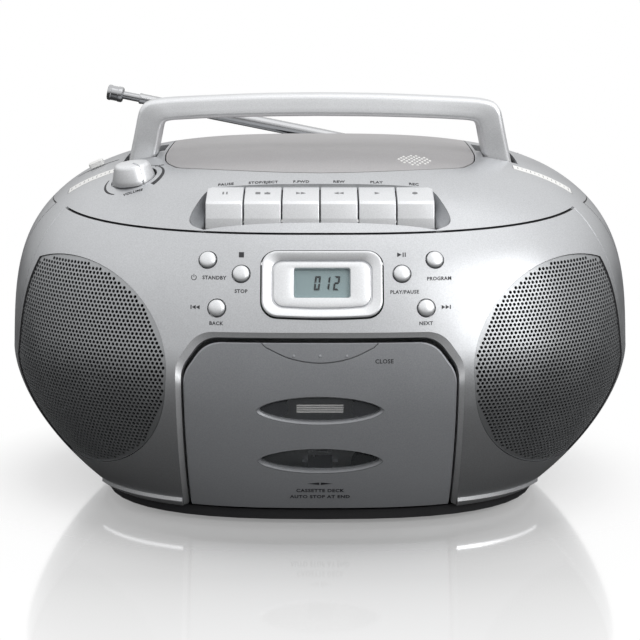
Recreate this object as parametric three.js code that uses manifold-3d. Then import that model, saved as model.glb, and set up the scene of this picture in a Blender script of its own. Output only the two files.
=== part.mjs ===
// Portable radio, CD and cassette player with a carry handle and a telescopic antenna.
// Millimetres, +Z up, front facing -Y, origin at the middle of the footprint on the floor.
import * as THREE from "three";
import { mergeVertices } from "three/addons/utils/BufferGeometryUtils.js";
import Module from "manifold-3d";

const wasm = await Module();
wasm.setup();

// ---------------------------------------------------------------- driving dimensions
const BODY_HALF_WIDTH = 165;
const FRONT_REACH = 119; // widest slice, middle to front
const REAR_REACH = 115; // widest slice, middle to rear
const PLAN_POWER = 2.65; // squareness of each slice
const WIDEST_Z = 83;
const UPPER_REACH = 102.5; // widest slice up to the crown
const UPPER_POWER = 3.35;
const LOWER_REACH = 128;
const LOWER_POWER = 1.65;
const LEAN = 0.28; // the upper slices step back by this much per mm
const BODY_SHIFT = -3.77; // centres the footprint in Y
const CASE_BOTTOM_Z = 8.3;
const WALL = 2.6;
const GAP = 0.3;

const SEAM = [
  [-52, 8],
  [-53, 60],
  [-54, 110],
  [-50, 140],
  [-43.5, 157.3],
]; // side edge of the front cabinet, as (y, z)
const STRAP_REAR_Y = -28; // rear edge of the side straps
const DECK_Z = 158; // rear edge of the top cover
const GROOVE_Z = 151.9;
const GROOVE_Y = -93.3;
const GROOVE_SLOPE = 0.115;

const GRILLE_TURN = (21.3 * Math.PI) / 180; // grille axis, turned outward from the front
const GRILLE_OFFSET = 90; // along the turned width
const GRILLE_Z = 84;
const GRILLE_HALF_WIDTH = 62.5;
const GRILLE_HALF_HEIGHT = 54.3;
const GRILLE_REAR_Y = -57;
const SPEAKER_TURN = (38 * Math.PI) / 180;

const DOOR_HALF_WIDTH = 66.6;
const DOOR_TOP_Z = 103.8;
const DOOR_BOTTOM_Z = 10;
const DOOR_GAP = 3.2;
const DOOR_HINGE = { y: -88.5, z: 12.2 };
const WINDOW_HALF_WIDTH = 29.6;
const WINDOW_HALF_HEIGHT = 6.6;
const WINDOW_Z = [69.6, 40.9];
const HUB_SPACING = 42.5;
const HUB_Z = 68;

const BUTTON_RADIUS = 4.4;
const BUTTONS = [
  ["standby_button", -54.7, 140.1],
  ["stop_button", -38.3, 134.1],
  ["skip_back_button", -50, 118.4],
  ["play_button", 39.8, 134.1],
  ["program_button", 56, 140.1],
  ["skip_next_button", 51.5, 118.4],
];
const KEY_NAMES = [
  "pause_key",
  "stop_eject_key",
  "fast_forward_key",
  "rewind_key",
  "play_key",
  "record_key",
];
const KEY_PITCH = 18.93;
const KEY_GAP = 0.7;
const KEY_PIVOT = { y: -56, z: 160 };

const LID_HALF_WIDTH = 82;
const LID_REAR_Y = 76;
const DISC_CENTRE_Y = 10;
const WELL_RADIUS = 62;
const WELL_FLOOR_Z = 167;

const HANDLE_PIVOT = { x: 99, y: -2, z: 166 };
const HANDLE_DEPTH = 20;

const MAST_PIVOT = { x: 88, y: 100, z: 162.4 };
const MAST_TIP = { x: -127, z: 205.8 };
const MAST_ANGLE = Math.atan2(MAST_TIP.z - MAST_PIVOT.z, MAST_PIVOT.x - MAST_TIP.x);
const MAST_LENGTH = Math.hypot(MAST_TIP.z - MAST_PIVOT.z, MAST_PIVOT.x - MAST_TIP.x);

const KNOB_AT = { x: -96.2, y: -43 };

// ---------------------------------------------------------------- solids
function solid(geometry) {
  const bare = geometry.index ? geometry.toNonIndexed() : geometry.clone();
  bare.deleteAttribute("normal");
  bare.deleteAttribute("uv");
  const merged = mergeVertices(bare, 1e-4);
  return new wasm.Manifold(
    new wasm.Mesh({
      numProp: 3,
      vertProperties: new Float32Array(merged.attributes.position.array),
      triVerts: new Uint32Array(merged.index.array),
    }),
  );
}

function geometryOf(made) {
  const mesh = made.getMesh();
  const position = new Float32Array(mesh.numVert * 3);
  for (let i = 0; i < mesh.numVert; i += 1) {
    const at = i * mesh.numProp;
    position.set(mesh.vertProperties.subarray(at, at + 3), i * 3);
  }
  const geometry = new THREE.BufferGeometry();
  geometry.setAttribute("position", new THREE.BufferAttribute(position, 3));
  geometry.setIndex(new THREE.BufferAttribute(new Uint32Array(mesh.triVerts), 1));
  return geometry;
}

function shapeOf(points) {
  return new THREE.Shape(points.map(([a, b]) => new THREE.Vector2(a, b)));
}

const ALONG = {
  x: new THREE.Matrix4().makeBasis(
    new THREE.Vector3(0, 1, 0),
    new THREE.Vector3(0, 0, 1),
    new THREE.Vector3(1, 0, 0),
  ),
  y: new THREE.Matrix4().makeBasis(
    new THREE.Vector3(1, 0, 0),
    new THREE.Vector3(0, 0, 1),
    new THREE.Vector3(0, -1, 0),
  ),
  z: new THREE.Matrix4(),
};

// A flat outline swept along one axis from low to high; for y the outline is (x, z).
function prism(axis, points, low, high) {
  const geometry = new THREE.ExtrudeGeometry(shapeOf(points), {
    depth: high - low,
    bevelEnabled: false,
  });
  geometry.applyMatrix4(ALONG[axis]);
  if (axis === "x") geometry.translate(low, 0, 0);
  if (axis === "y") geometry.translate(0, high, 0);
  if (axis === "z") geometry.translate(0, 0, low);
  return solid(geometry);
}

function block(x, y, z) {
  const geometry = new THREE.BoxGeometry(x[1] - x[0], y[1] - y[0], z[1] - z[0]);
  geometry.translate((x[0] + x[1]) / 2, (y[0] + y[1]) / 2, (z[0] + z[1]) / 2);
  return solid(geometry);
}

// A turned shape round its own +Z, moved to a point with its +Z along a direction.
function turned(profile, segments, at = [0, 0, 0], along = [0, 0, 1]) {
  const points = profile.map(([r, z]) => new THREE.Vector2(r, z));
  const geometry = new THREE.LatheGeometry(points, segments);
  geometry.rotateX(Math.PI / 2);
  const direction = new THREE.Vector3(...along).normalize();
  const turn = new THREE.Quaternion().setFromUnitVectors(
    new THREE.Vector3(0, 0, 1),
    direction,
  );
  geometry.applyQuaternion(turn);
  geometry.translate(...at);
  const made = solid(geometry);
  if (made.volume() > 0) return made;
  throw new Error("profile runs the wrong way");
}

function rod(radius, low, high, segments, at, along) {
  const profile = [
    [0, low],
    [radius, low],
    [radius, high],
    [0, high],
  ];
  return turned(profile, segments, at, along);
}

function matrixTo(at, along) {
  const turn = new THREE.Quaternion().setFromUnitVectors(
    new THREE.Vector3(0, 0, 1),
    new THREE.Vector3(...along).normalize(),
  );
  return new THREE.Matrix4().compose(
    new THREE.Vector3(...at),
    turn,
    new THREE.Vector3(1, 1, 1),
  );
}

function joined(list) {
  return list.reduce((all, one) => all.add(one));
}

function ellipse(cx, cy, rx, ry, count) {
  const points = [];
  for (let i = 0; i < count; i += 1) {
    const a = (i / count) * Math.PI * 2;
    points.push([cx + rx * Math.cos(a), cy + ry * Math.sin(a)]);
  }
  return points;
}

function roundedRect(cx, cy, halfWidth, halfHeight, radius, steps = 4) {
  const points = [];
  const corners = [
    [1, 1, 0],
    [-1, 1, 1],
    [-1, -1, 2],
    [1, -1, 3],
  ];
  for (const [sx, sy, quarter] of corners) {
    for (let i = 0; i <= steps; i += 1) {
      const a = ((quarter + i / steps) * Math.PI) / 2;
      points.push([
        cx + sx * (halfWidth - radius) + radius * Math.cos(a),
        cy + sy * (halfHeight - radius) + radius * Math.sin(a),
      ]);
    }
  }
  return points;
}

// A pointed lens: two equal arcs meeting at the left and right tips.
function lens(cx, cy, halfWidth, halfHeight, steps = 8) {
  const points = [];
  for (let i = 0; i < 2 * steps; i += 1) {
    const side = i < steps ? 1 : -1;
    const t = ((i % steps) / steps) * 2 - 1;
    points.push([cx - side * t * halfWidth, cy + side * halfHeight * (1 - t * t)]);
  }
  return points;
}

function mirrored(made) {
  return made.mirror([1, 0, 0]);
}

// ---------------------------------------------------------------- the rounded body
function sliceScale(z, inset) {
  const below = z < WIDEST_Z;
  const reach = (below ? LOWER_REACH : UPPER_REACH) - inset;
  const power = below ? LOWER_POWER : UPPER_POWER;
  const share = Math.min(Math.abs(z - WIDEST_Z) / reach, 1);
  return (1 - share ** power) ** (1 / power);
}

function sliceShift(z) {
  return BODY_SHIFT + LEAN * Math.max(z - WIDEST_Z, 0);
}

function slicePoint(z, scale, angle, inset) {
  const power = 2 / PLAN_POWER;
  const c = Math.cos(angle);
  const s = Math.sin(angle);
  const reach = (s < 0 ? FRONT_REACH : REAR_REACH) - inset;
  const x = Math.sign(c) * Math.abs(c) ** power * (BODY_HALF_WIDTH - inset) * scale;
  const y = Math.sign(s) * Math.abs(s) ** power * reach * scale;
  return [x, y + sliceShift(z), z];
}

function bodySolid(inset, lowZ, around, lower, upper) {
  const levels = [];
  for (let i = 0; i < lower; i += 1) {
    const z = lowZ + ((WIDEST_Z - lowZ) * i) / lower;
    levels.push([z, sliceScale(z, inset)]);
  }
  for (let i = 0; i < upper; i += 1) {
    const t = ((i / upper) * Math.PI) / 2;
    const rise = Math.sin(t) ** (2 / UPPER_POWER);
    const z = WIDEST_Z + (UPPER_REACH - inset) * rise;
    levels.push([z, Math.cos(t) ** (2 / UPPER_POWER)]);
  }
  const position = [];
  for (const [z, scale] of levels) {
    for (let k = 0; k < around; k += 1) {
      const angle = ((k + 0.5) / around) * Math.PI * 2;
      position.push(...slicePoint(z, scale, angle, inset));
    }
  }
  const topZ = WIDEST_Z + UPPER_REACH - inset;
  const bottom = position.length / 3;
  position.push(0, sliceShift(lowZ), lowZ);
  position.push(0, sliceShift(topZ), topZ);
  const index = [];
  for (let k = 0; k < around; k += 1) {
    const next = (k + 1) % around;
    const last = (levels.length - 1) * around;
    index.push(bottom, next, k);
    index.push(bottom + 1, last + k, last + next);
    for (let j = 0; j < levels.length - 1; j += 1) {
      const a = j * around + k;
      const b = j * around + next;
      index.push(a, b, b + around);
      index.push(a, b + around, a + around);
    }
  }
  const geometry = new THREE.BufferGeometry();
  geometry.setAttribute("position", new THREE.Float32BufferAttribute(position, 3));
  geometry.setIndex(index);
  return solid(geometry);
}

function frontY(x, z) {
  const scale = sliceScale(z, 0);
  const share = 1 - (Math.abs(x) / (BODY_HALF_WIDTH * scale)) ** PLAN_POWER;
  return sliceShift(z) - FRONT_REACH * scale * Math.max(share, 0) ** (1 / PLAN_POWER);
}

function isInside(x, y, z) {
  const scale = sliceScale(z, 0);
  const across = y - sliceShift(z);
  const reach = across < 0 ? FRONT_REACH : REAR_REACH;
  const a = (Math.abs(x) / (BODY_HALF_WIDTH * scale)) ** PLAN_POWER;
  const b = (Math.abs(across) / (reach * scale)) ** PLAN_POWER;
  return a + b < 1;
}

function topZ(x, y) {
  let low = WIDEST_Z;
  let high = WIDEST_Z + UPPER_REACH - 0.001;
  for (let i = 0; i < 40; i += 1) {
    const middle = (low + high) / 2;
    if (isInside(x, y, middle)) low = middle;
    else high = middle;
  }
  return low;
}

function frontNormal(x, z) {
  const step = 0.5;
  const dx = (frontY(x + step, z) - frontY(x - step, z)) / (2 * step);
  const dz = (frontY(x, z + step) - frontY(x, z - step)) / (2 * step);
  return new THREE.Vector3(dx, -1, dz).normalize();
}

function topNormal(x, y) {
  const step = 1;
  const dx = (topZ(x + step, y) - topZ(x - step, y)) / (2 * step);
  const dy = (topZ(x, y + step) - topZ(x, y - step)) / (2 * step);
  return new THREE.Vector3(-dx, -dy, 1).normalize();
}

function grooveZ(y) {
  return GROOVE_Z + GROOVE_SLOPE * (y - GROOVE_Y);
}

const BODY = bodySolid(0, CASE_BOTTOM_Z, 48, 8, 12);
const CORE = bodySolid(WALL, CASE_BOTTOM_Z - 5, 32, 5, 7);
const SHELL = BODY.subtract(CORE);

// ---------------------------------------------------------------- appearance
const SILVER = [0xb7babd, 0.42, 0.55];
const DEEP_SILVER = [0x85888c, 0.45, 0.55];
const LID_SILVER = [0xbcbab8, 0.45, 0.4];
const BRIGHT = [0xd9dadb, 0.3, 0.6];
const CHROME = [0xd0d2d4, 0.12, 1];
const BLACK = [0x151617, 0.55, 0];
const DARK = [0x2b2d2f, 0.6, 0];
const STEEL = [0x9a9ea3, 0.35, 0.9];
const RUBBER = [0x101010, 0.9, 0];
const SMOKE = [0x3c4044, 0.1, 0];
const LCD = [0x93a3a0, 0.35, 0];
const BOARD = [0x2f6a3c, 0.5, 0];
const WHITE = [0xf0f0ee, 0.4, 0];
const PAPER = [0x202022, 0.95, 0];

const group = new THREE.Group();
group.name = "cassette_player";

function node(name, made, look, at, along) {
  const [color, roughness, metalness] = look;
  const material = new THREE.MeshStandardMaterial({ color, roughness, metalness });
  material.name = name;
  const mesh = new THREE.Mesh(geometryOf(made), material);
  mesh.name = name;
  if (at) mesh.position.set(...at);
  if (along) {
    mesh.quaternion.setFromUnitVectors(
      new THREE.Vector3(0, 0, 1),
      new THREE.Vector3(...along).normalize(),
    );
  }
  group.add(mesh);
  return mesh;
}

// ---------------------------------------------------------------- front cabinet
const DISPLAY_Z = 129.7;
const DISPLAY_NORMAL = frontNormal(0, DISPLAY_Z);
const DISPLAY_AT = [0, frontY(0, DISPLAY_Z), DISPLAY_Z];

function doorOutline(grow) {
  const w = DOOR_HALF_WIDTH + grow;
  const t = DOOR_TOP_Z + grow;
  const cut = 11;
  const drop = 15;
  return [
    [-w, DOOR_BOTTOM_Z - 12],
    [w, DOOR_BOTTOM_Z - 12],
    [w, t - drop],
    [w - 2.5, t - drop * 0.55],
    [w - cut * 0.55, t - drop * 0.22],
    [w - cut, t],
    [-w + cut, t],
    [-w + cut * 0.55, t - drop * 0.22],
    [-w + 2.5, t - drop * 0.55],
    [-w, t - drop],
  ];
}

function grilleCylinder(grow) {
  const points = ellipse(
    -GRILLE_OFFSET,
    GRILLE_Z,
    GRILLE_HALF_WIDTH + grow,
    GRILLE_HALF_HEIGHT + grow,
    48,
  );
  const made = prism("y", points, -200, 60);
  return made.rotate([0, 0, (-GRILLE_TURN * 180) / Math.PI]);
}

function frontCabinet() {
  const edge = 0.3;
  const region = prism(
    "x",
    [
      [-140, CASE_BOTTOM_Z - 1],
      ...SEAM.map(([y, z]) => [y - edge, z]),
      [SEAM[4][0] - edge, grooveZ(SEAM[4][0]) - edge],
      [-140, grooveZ(-140) - edge],
    ],
    -180,
    180,
  );
  const limit = prism(
    "x",
    [
      [-200, 0],
      [GRILLE_REAR_Y, 0],
      [GRILLE_REAR_Y, 150],
      [-200, 150],
    ],
    -180,
    180,
  );
  const hole = grilleCylinder(0).intersect(limit);
  const frame = prism("y", doorOutline(DOOR_GAP + 2), -140, -94)
    .intersect(BODY)
    .intersect(region);
  let made = SHELL.intersect(region).add(frame);
  made = made.subtract(hole).subtract(mirrored(hole));
  made = made.subtract(prism("y", doorOutline(DOOR_GAP), -160, -60));
  const displayHole = prism("z", roundedRect(0, 0, 30.4, 16.8, 7.9), -12, 12);
  made = made.subtract(
    displayHole.transform(matrixTo(DISPLAY_AT, DISPLAY_NORMAL.toArray()).elements),
  );
  for (const [, x, z] of BUTTONS) {
    const normal = frontNormal(x, z);
    const at = [x, frontY(x, z), z];
    made = made.subtract(rod(BUTTON_RADIUS + 0.7, -12, 12, 20, at, normal.toArray()));
  }
  // bright lips along the foot of the cabinet, either side of the door
  const lip = bodySolid(-1.4, CASE_BOTTOM_Z, 48, 8, 3)
    .intersect(block([71, 180], [-140, -54], [CASE_BOTTOM_Z, 13.5]))
    .subtract(bodySolid(1.2, CASE_BOTTOM_Z - 3, 32, 5, 3));
  return made.add(lip).add(mirrored(lip));
}

node("front_cabinet", frontCabinet(), SILVER);

function grillePanel() {
  const limit = block([-200, 0], [-200, GRILLE_REAR_Y - 0.4], [0, 150]);
  const plug = grilleCylinder(-0.4).intersect(limit);
  return bodySolid(0.7, CASE_BOTTOM_Z, 48, 8, 11)
    .subtract(bodySolid(2, CASE_BOTTOM_Z - 4, 48, 8, 11))
    .intersect(plug);
}

const leftGrille = grillePanel();
node("left_grille", leftGrille, DEEP_SILVER);
node("right_grille", mirrored(leftGrille), DEEP_SILVER);

// ---------------------------------------------------------------- speakers
const SPEAKER_AXIS = [-Math.sin(SPEAKER_TURN), -Math.cos(SPEAKER_TURN), 0];
const SPEAKER_AT = [-109.6, -74.5, 82];

function speakerFrame() {
  return turned(
    [
      [0, -40],
      [21, -40],
      [21, -27],
      [14, -27],
      [16, -24],
      [38, -4],
      [42, -4],
      [42, 0],
      [37, 0],
      [37, -2],
      [15, -21],
      [11.5, -24],
      [11.5, -27],
      [0, -27],
    ],
    24,
    SPEAKER_AT,
    SPEAKER_AXIS,
  );
}

function speakerCone() {
  return turned(
    [
      [0, -24],
      [9, -24],
      [10, -17],
      [13, -17],
      [34, -1.2],
      [36.2, -1.2],
      [36.2, 0.6],
      [33, 1],
      [12, -14.5],
      [8, -11],
      [0, -10],
    ],
    24,
    SPEAKER_AT,
    SPEAKER_AXIS,
  );
}

const leftFrame = speakerFrame();
const leftCone = speakerCone();
node("left_speaker_frame", leftFrame, DARK);
node("right_speaker_frame", mirrored(leftFrame), DARK);
node("left_speaker_cone", leftCone, PAPER);
node("right_speaker_cone", mirrored(leftCone), PAPER);

// ---------------------------------------------------------------- display
function displayBezel() {
  const rim = prism("z", roundedRect(0, 0, 30, 16.4, 7.5), -1.2, 2.2);
  const neck = prism("z", roundedRect(0, 0, 27.6, 14, 6.4), -5, -1);
  const dish = prism("z", roundedRect(0, 0, 23.4, 11, 4), -0.2, 6);
  const window = prism("z", roundedRect(0, 0.4, 13.5, 7.2, 1), -9, 6);
  return rim.add(neck).subtract(dish).subtract(window);
}

node("display_bezel", displayBezel(), BRIGHT, DISPLAY_AT, DISPLAY_NORMAL.toArray());
node(
  "display_window",
  prism("z", roundedRect(0, 0.4, 13.1, 6.8, 0.8), -2.6, -1),
  SMOKE,
  DISPLAY_AT,
  DISPLAY_NORMAL.toArray(),
);
node(
  "lcd_panel",
  prism("z", roundedRect(0, 0.4, 16, 9, 0.5), -8.6, -5.4),
  LCD,
  DISPLAY_AT,
  DISPLAY_NORMAL.toArray(),
);
node(
  "front_board",
  prism("z", roundedRect(0, 1, 62, 11.5, 1), -15.6, -14),
  BOARD,
  DISPLAY_AT,
  DISPLAY_NORMAL.toArray(),
);

// ---------------------------------------------------------------- push buttons
function pushButton() {
  return turned(
    [
      [0, -6],
      [BUTTON_RADIUS + 1.6, -6],
      [BUTTON_RADIUS + 1.6, -5],
      [BUTTON_RADIUS, -5],
      [BUTTON_RADIUS, 0.6],
      [BUTTON_RADIUS * 0.8, 1.5],
      [BUTTON_RADIUS * 0.4, 2],
      [0, 2.1],
    ],
    20,
  );
}

for (const [name, x, z] of BUTTONS) {
  const normal = frontNormal(x, z);
  node(name, pushButton(), BRIGHT, [x, frontY(x, z), z], normal.toArray());
}

// ---------------------------------------------------------------- cassette door
const doorPlate = prism("y", doorOutline(0), -160, -60)
  .intersect(bodySolid(0.6, 0, 56, 10, 4))
  .subtract(bodySolid(3.4, -6, 40, 8, 4))
  .intersect(block([-100, 100], [-160, -60], [DOOR_BOTTOM_Z, 120]));

function cassetteDoor() {
  let made = doorPlate;
  for (const z of WINDOW_Z) {
    made = made.subtract(
      prism("y", lens(0, z, WINDOW_HALF_WIDTH, WINDOW_HALF_HEIGHT), -140, -60),
    );
  }
  return made;
}

function doorWindow(z) {
  return prism("y", lens(0, z, WINDOW_HALF_WIDTH - 1, WINDOW_HALF_HEIGHT - 0.5), -140, -60)
    .intersect(bodySolid(1.2, 0, 56, 10, 4))
    .subtract(bodySolid(2.8, -6, 40, 8, 4));
}

node("cassette_door", cassetteDoor(), DEEP_SILVER);
node("upper_door_window", doorWindow(WINDOW_Z[0]), SMOKE);
node("lower_door_window", doorWindow(WINDOW_Z[1]), SMOKE);

// The carrier hangs on the inside of the door and holds the tape by its edges.
const TAPE = { x: 51.2, y: [-97.6, -85.4], z: [37, 101] };
const CHEEK = 2.2;

function cassetteCarrier() {
  const [front, rear] = TAPE.y;
  const low = TAPE.z[0];
  const inner = bodySolid(3.8, -6, 40, 8, 4);
  const pieces = [block([-TAPE.x - CHEEK, TAPE.x + CHEEK], [-95.4, -94], [27, 33])];
  for (const side of [-1, 1]) {
    const span = (a, b) => [Math.min(side * a, side * b), Math.max(side * a, side * b)];
    const cheek = block(span(TAPE.x, TAPE.x + CHEEK), [-130, rear + 1.6], [27, 96]);
    pieces.push(cheek.intersect(inner));
    pieces.push(block(span(48, TAPE.x + 1), [rear + 0.2, rear + 1.6], [low - 2, 96]));
    pieces.push(block(span(33, TAPE.x + 1), [-96, rear], [low - 2, low]));
    pieces.push(block(span(48, TAPE.x + 1), [front - 1.6, front - 0.2], [40, 96]));
  }
  return joined(pieces);
}

node("cassette_carrier", cassetteCarrier(), DARK);

// ---------------------------------------------------------------- tape mechanism
const DECK_Y = -83; // front face of the deck plate
const CAPSTAN = { x: 22, z: 41 };
const ROLLER = { x: 22, z: 33 };
const MOTOR = { x: -36, z: 36 };

function deckFrame() {
  const tray = block([-69.6, 69.6], [-93.4, -80.4], [18, 106.6]).subtract(
    block([-68, 68], [-100, DECK_Y], [10, 105]),
  );
  let made = tray.intersect(bodySolid(3.4, -6, 40, 8, 4));
  for (const side of [-1, 1]) {
    const at = [(side * HUB_SPACING) / 2, 0, HUB_Z];
    made = made.subtract(rod(3, 70, 100, 16, at, [0, -1, 0]));
  }
  made = made.subtract(rod(2.4, 70, 100, 16, [CAPSTAN.x, 0, CAPSTAN.z], [0, -1, 0]));
  return made;
}

node("tape_deck_frame", deckFrame(), DARK);

function tapeHub() {
  const drum = turned(
    [
      [0, -5.4],
      [9, -5.4],
      [9, -3.4],
      [2.4, -3.4],
      [2.4, 0.6],
      [5.6, 0.6],
      [5.6, 2.2],
      [3.6, 2.2],
      [3.6, 10.4],
      [2.2, 12],
      [0, 12],
    ],
    18,
  );
  const vanes = [0, 1, 2].map((i) =>
    block([-0.7, 0.7], [0, 4.7], [2, 9.6]).rotate([0, 0, i * 120 + 20]),
  );
  return joined([drum, ...vanes]);
}

node("left_tape_hub", tapeHub(), WHITE, [-HUB_SPACING / 2, DECK_Y, HUB_Z], [0, -1, 0]);
node("right_tape_hub", tapeHub(), WHITE, [HUB_SPACING / 2, DECK_Y, HUB_Z], [0, -1, 0]);

function playbackHead() {
  const shield = block([-6, 6], [-92.5, -86], [33, 40]);
  const face = block([-4, 4], [-91.5, -87], [39, 41.6]);
  const foot = block([-9, 9], [-88, DECK_Y - GAP], [30.5, 33.6]);
  return joined([shield, face, foot]);
}

node("playback_head", playbackHead(), STEEL);
node(
  "pinch_roller",
  rod(6, 0.4, 8.4, 20, [0, 0, 0]),
  RUBBER,
  [ROLLER.x, DECK_Y, ROLLER.z],
  [0, -1, 0],
);
node(
  "capstan_flywheel",
  turned(
    [
      [0, -10],
      [16, -10],
      [16, -4],
      [2, -4],
      [2, 0.6],
      [1.2, 0.6],
      [1.2, 10],
      [0, 10],
    ],
    24,
  ),
  STEEL,
  [CAPSTAN.x, DECK_Y, CAPSTAN.z],
  [0, -1, 0],
);
node(
  "tape_motor",
  turned(
    [
      [0, -32],
      [13.5, -32],
      [14, -30],
      [14, -6],
      [4, -6],
      [4, -4.4],
      [0, -4.4],
    ],
    24,
  ),
  STEEL,
  [MOTOR.x, DECK_Y, MOTOR.z],
  [0, -1, 0],
);

// ---------------------------------------------------------------- cassette keys
const KEY_POCKET_RIGHT = [
  [57.4, -88.6],
  [62.6, -86.2],
  [64.6, -83.6],
  [63.6, -79.8],
  [60.8, -74.6],
  [57.6, -69.4],
  [53.6, -66],
];
const KEY_POCKET_LEFT = KEY_POCKET_RIGHT.map(([x, y]) => [-x, y]).reverse();
const KEY_POCKET = [...KEY_POCKET_RIGHT, ...KEY_POCKET_LEFT];

// The cover around the pocket, a little thicker, so that the keys clear it.
function keyRim() {
  const inner = KEY_POCKET.map(([x, y]) => [x - Math.sign(x) * 0.4, y > -80 ? y - 0.35 : y + 0.35]);
  return bodySolid(-3, 120, 56, 3, 13)
    .subtract(bodySolid(WALL + 1, 120, 56, 3, 13))
    .subtract(prism("z", inner, 130, 220));
}

const KEY_RIM = keyRim();

function pianoKey(index) {
  const left = (index - 3) * KEY_PITCH + KEY_GAP / 2;
  return prism(
    "x",
    [
      [-87.8, 157.2],
      [-87.2, 158.6],
      [-85.2, 166],
      [-84.2, 166.9],
      [-66.6, 170.3],
      [-65, 168.4],
      [-63, 165.6],
      [-53.8, 162.6],
      [-53.8, 157.4],
      [-72, 155.4],
      [-86.6, 156.2],
    ],
    left,
    left + KEY_PITCH - KEY_GAP,
  ).subtract(KEY_RIM);
}

KEY_NAMES.forEach((name, index) => node(name, pianoKey(index), BRIGHT));

function keyBracket() {
  const grow = (by) => KEY_POCKET.map(([x, y]) => [
    x + Math.sign(x) * by,
    y < -85 ? y - by : y,
  ]);
  const floor = prism("z", grow(1.6), 146.4, 148);
  const tail = block([-60, 60], [-67, -52], [146.4, 148]);
  const wall = prism("z", grow(1.6), 147, 175).subtract(
    prism("z", grow(0.2).map(([x, y]) => [x, y > -67 ? y + 5 : y]), 140, 180),
  ).subtract(block([-57.4, 57.4], [-80, -40], [148, 180]));
  return joined([floor, tail, wall]).intersect(bodySolid(WALL + 1.3, 120, 48, 3, 12));
}

node("key_bracket", keyBracket(), BLACK);

// ---------------------------------------------------------------- disc lid and well
function lidOutline(grow) {
  const w = LID_HALF_WIDTH + grow;
  const f = grow;
  return [
    [-w, LID_REAR_Y + f],
    [-w, -14],
    [-w + 1.6, -28 - f * 0.6],
    [-w + 5.5, -36.5 - f],
    [-w + 12, -42.5 - f],
    [-48, -49.8 - f],
    [-24, -54.2 - f],
    [0, -55.7 - f],
    [24, -54.2 - f],
    [48, -49.8 - f],
    [w - 12, -42.5 - f],
    [w - 5.5, -36.5 - f],
    [w - 1.6, -28 - f * 0.6],
    [w, -14],
    [w, LID_REAR_Y + f],
  ];
}

const LID_THICKNESS = 2.2;
node(
  "cd_lid",
  bodySolid(0, 120, 48, 3, 12)
    .subtract(bodySolid(LID_THICKNESS, 110, 48, 3, 12))
    .intersect(prism("z", lidOutline(0), 150, 200)),
  LID_SILVER,
);

function cdWell() {
  const flange = prism("z", lidOutline(1.4), 169.6, 171.2);
  const dish = rod(WELL_RADIUS + 1.5, 163.8, 171, 48, [0, DISC_CENTRE_Y, 0]);
  const hollow = rod(WELL_RADIUS, WELL_FLOOR_Z - 1.6, 200, 48, [0, DISC_CENTRE_Y, 0]);
  const motor = rod(17, 152, 164.4, 24, [0, DISC_CENTRE_Y, 0]);
  const hub = rod(15.6, 154, 190, 24, [0, DISC_CENTRE_Y, 0]);
  const slot = block([19, 57], [DISC_CENTRE_Y - 9.5, DISC_CENTRE_Y + 9.5], [160, 190]);
  return joined([flange, dish, motor]).subtract(hollow).subtract(hub).subtract(slot);
}

node("cd_well", cdWell(), BLACK);
node(
  "cd_spindle",
  turned(
    [
      [0, 154.6],
      [14, 154.6],
      [14, 164],
      [14.6, 166],
      [14.6, 168],
      [7.4, 168],
      [7, 171],
      [5, 172.4],
      [0, 172.4],
    ],
    24,
    [0, 0, 0],
  ),
  DARK,
  [0, DISC_CENTRE_Y, 0],
);
node(
  "laser_carriage",
  joined([
    block([22, 36], [DISC_CENTRE_Y - 8, DISC_CENTRE_Y + 8], [158, 165.2]),
    rod(4, 165, 167, 16, [28, DISC_CENTRE_Y, 0]),
  ]),
  DARK,
);

// ---------------------------------------------------------------- top cover and rear cover
const SLIDER_AT = [-121, 4, topZ(-121, 4)];
const SLIDER_NORMAL = topNormal(-121, 4).toArray();
const TUNER_AT = [117, 76, topZ(117, 76)];
const TUNER_NORMAL = topNormal(117, 76).toArray();
const KNOB_Z = topZ(KNOB_AT.x, KNOB_AT.y);
const KNOB_AXIS = new THREE.Vector3(-0.12, -0.1, 0.988).normalize().toArray(); // nearly upright
const KNOB_SEAT = { radius: 12.2, depth: 2.8 };

function mastLine(x) {
  return MAST_PIVOT.z + (MAST_PIVOT.x - x) * Math.tan(MAST_ANGLE);
}

function mastNotch(grow) {
  const drop = 7 + grow;
  return prism(
    "y",
    [
      [-160, 260],
      [-160, mastLine(-160) - drop],
      [106 + grow, mastLine(106) - drop],
      [106 + grow, 260],
    ],
    93.5 - grow,
    160,
  );
}

const NOTCH = mastNotch(0);
const WHEEL_SLOT = block([-15.4, 15.4], [-4.6, 4.6], [-9, 9]).transform(
  matrixTo(TUNER_AT, TUNER_NORMAL).elements,
);
const WALLED = SHELL.add(BODY.intersect(mastNotch(2.4))).subtract(NOTCH).subtract(WHEEL_SLOT);

function stripBlock(side, grow) {
  const x = [102 - grow, 133 + grow];
  const made = block(x, [-27 - grow, -20 + grow], [150, 190]);
  return side < 0 ? mirrored(made) : made;
}

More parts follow.
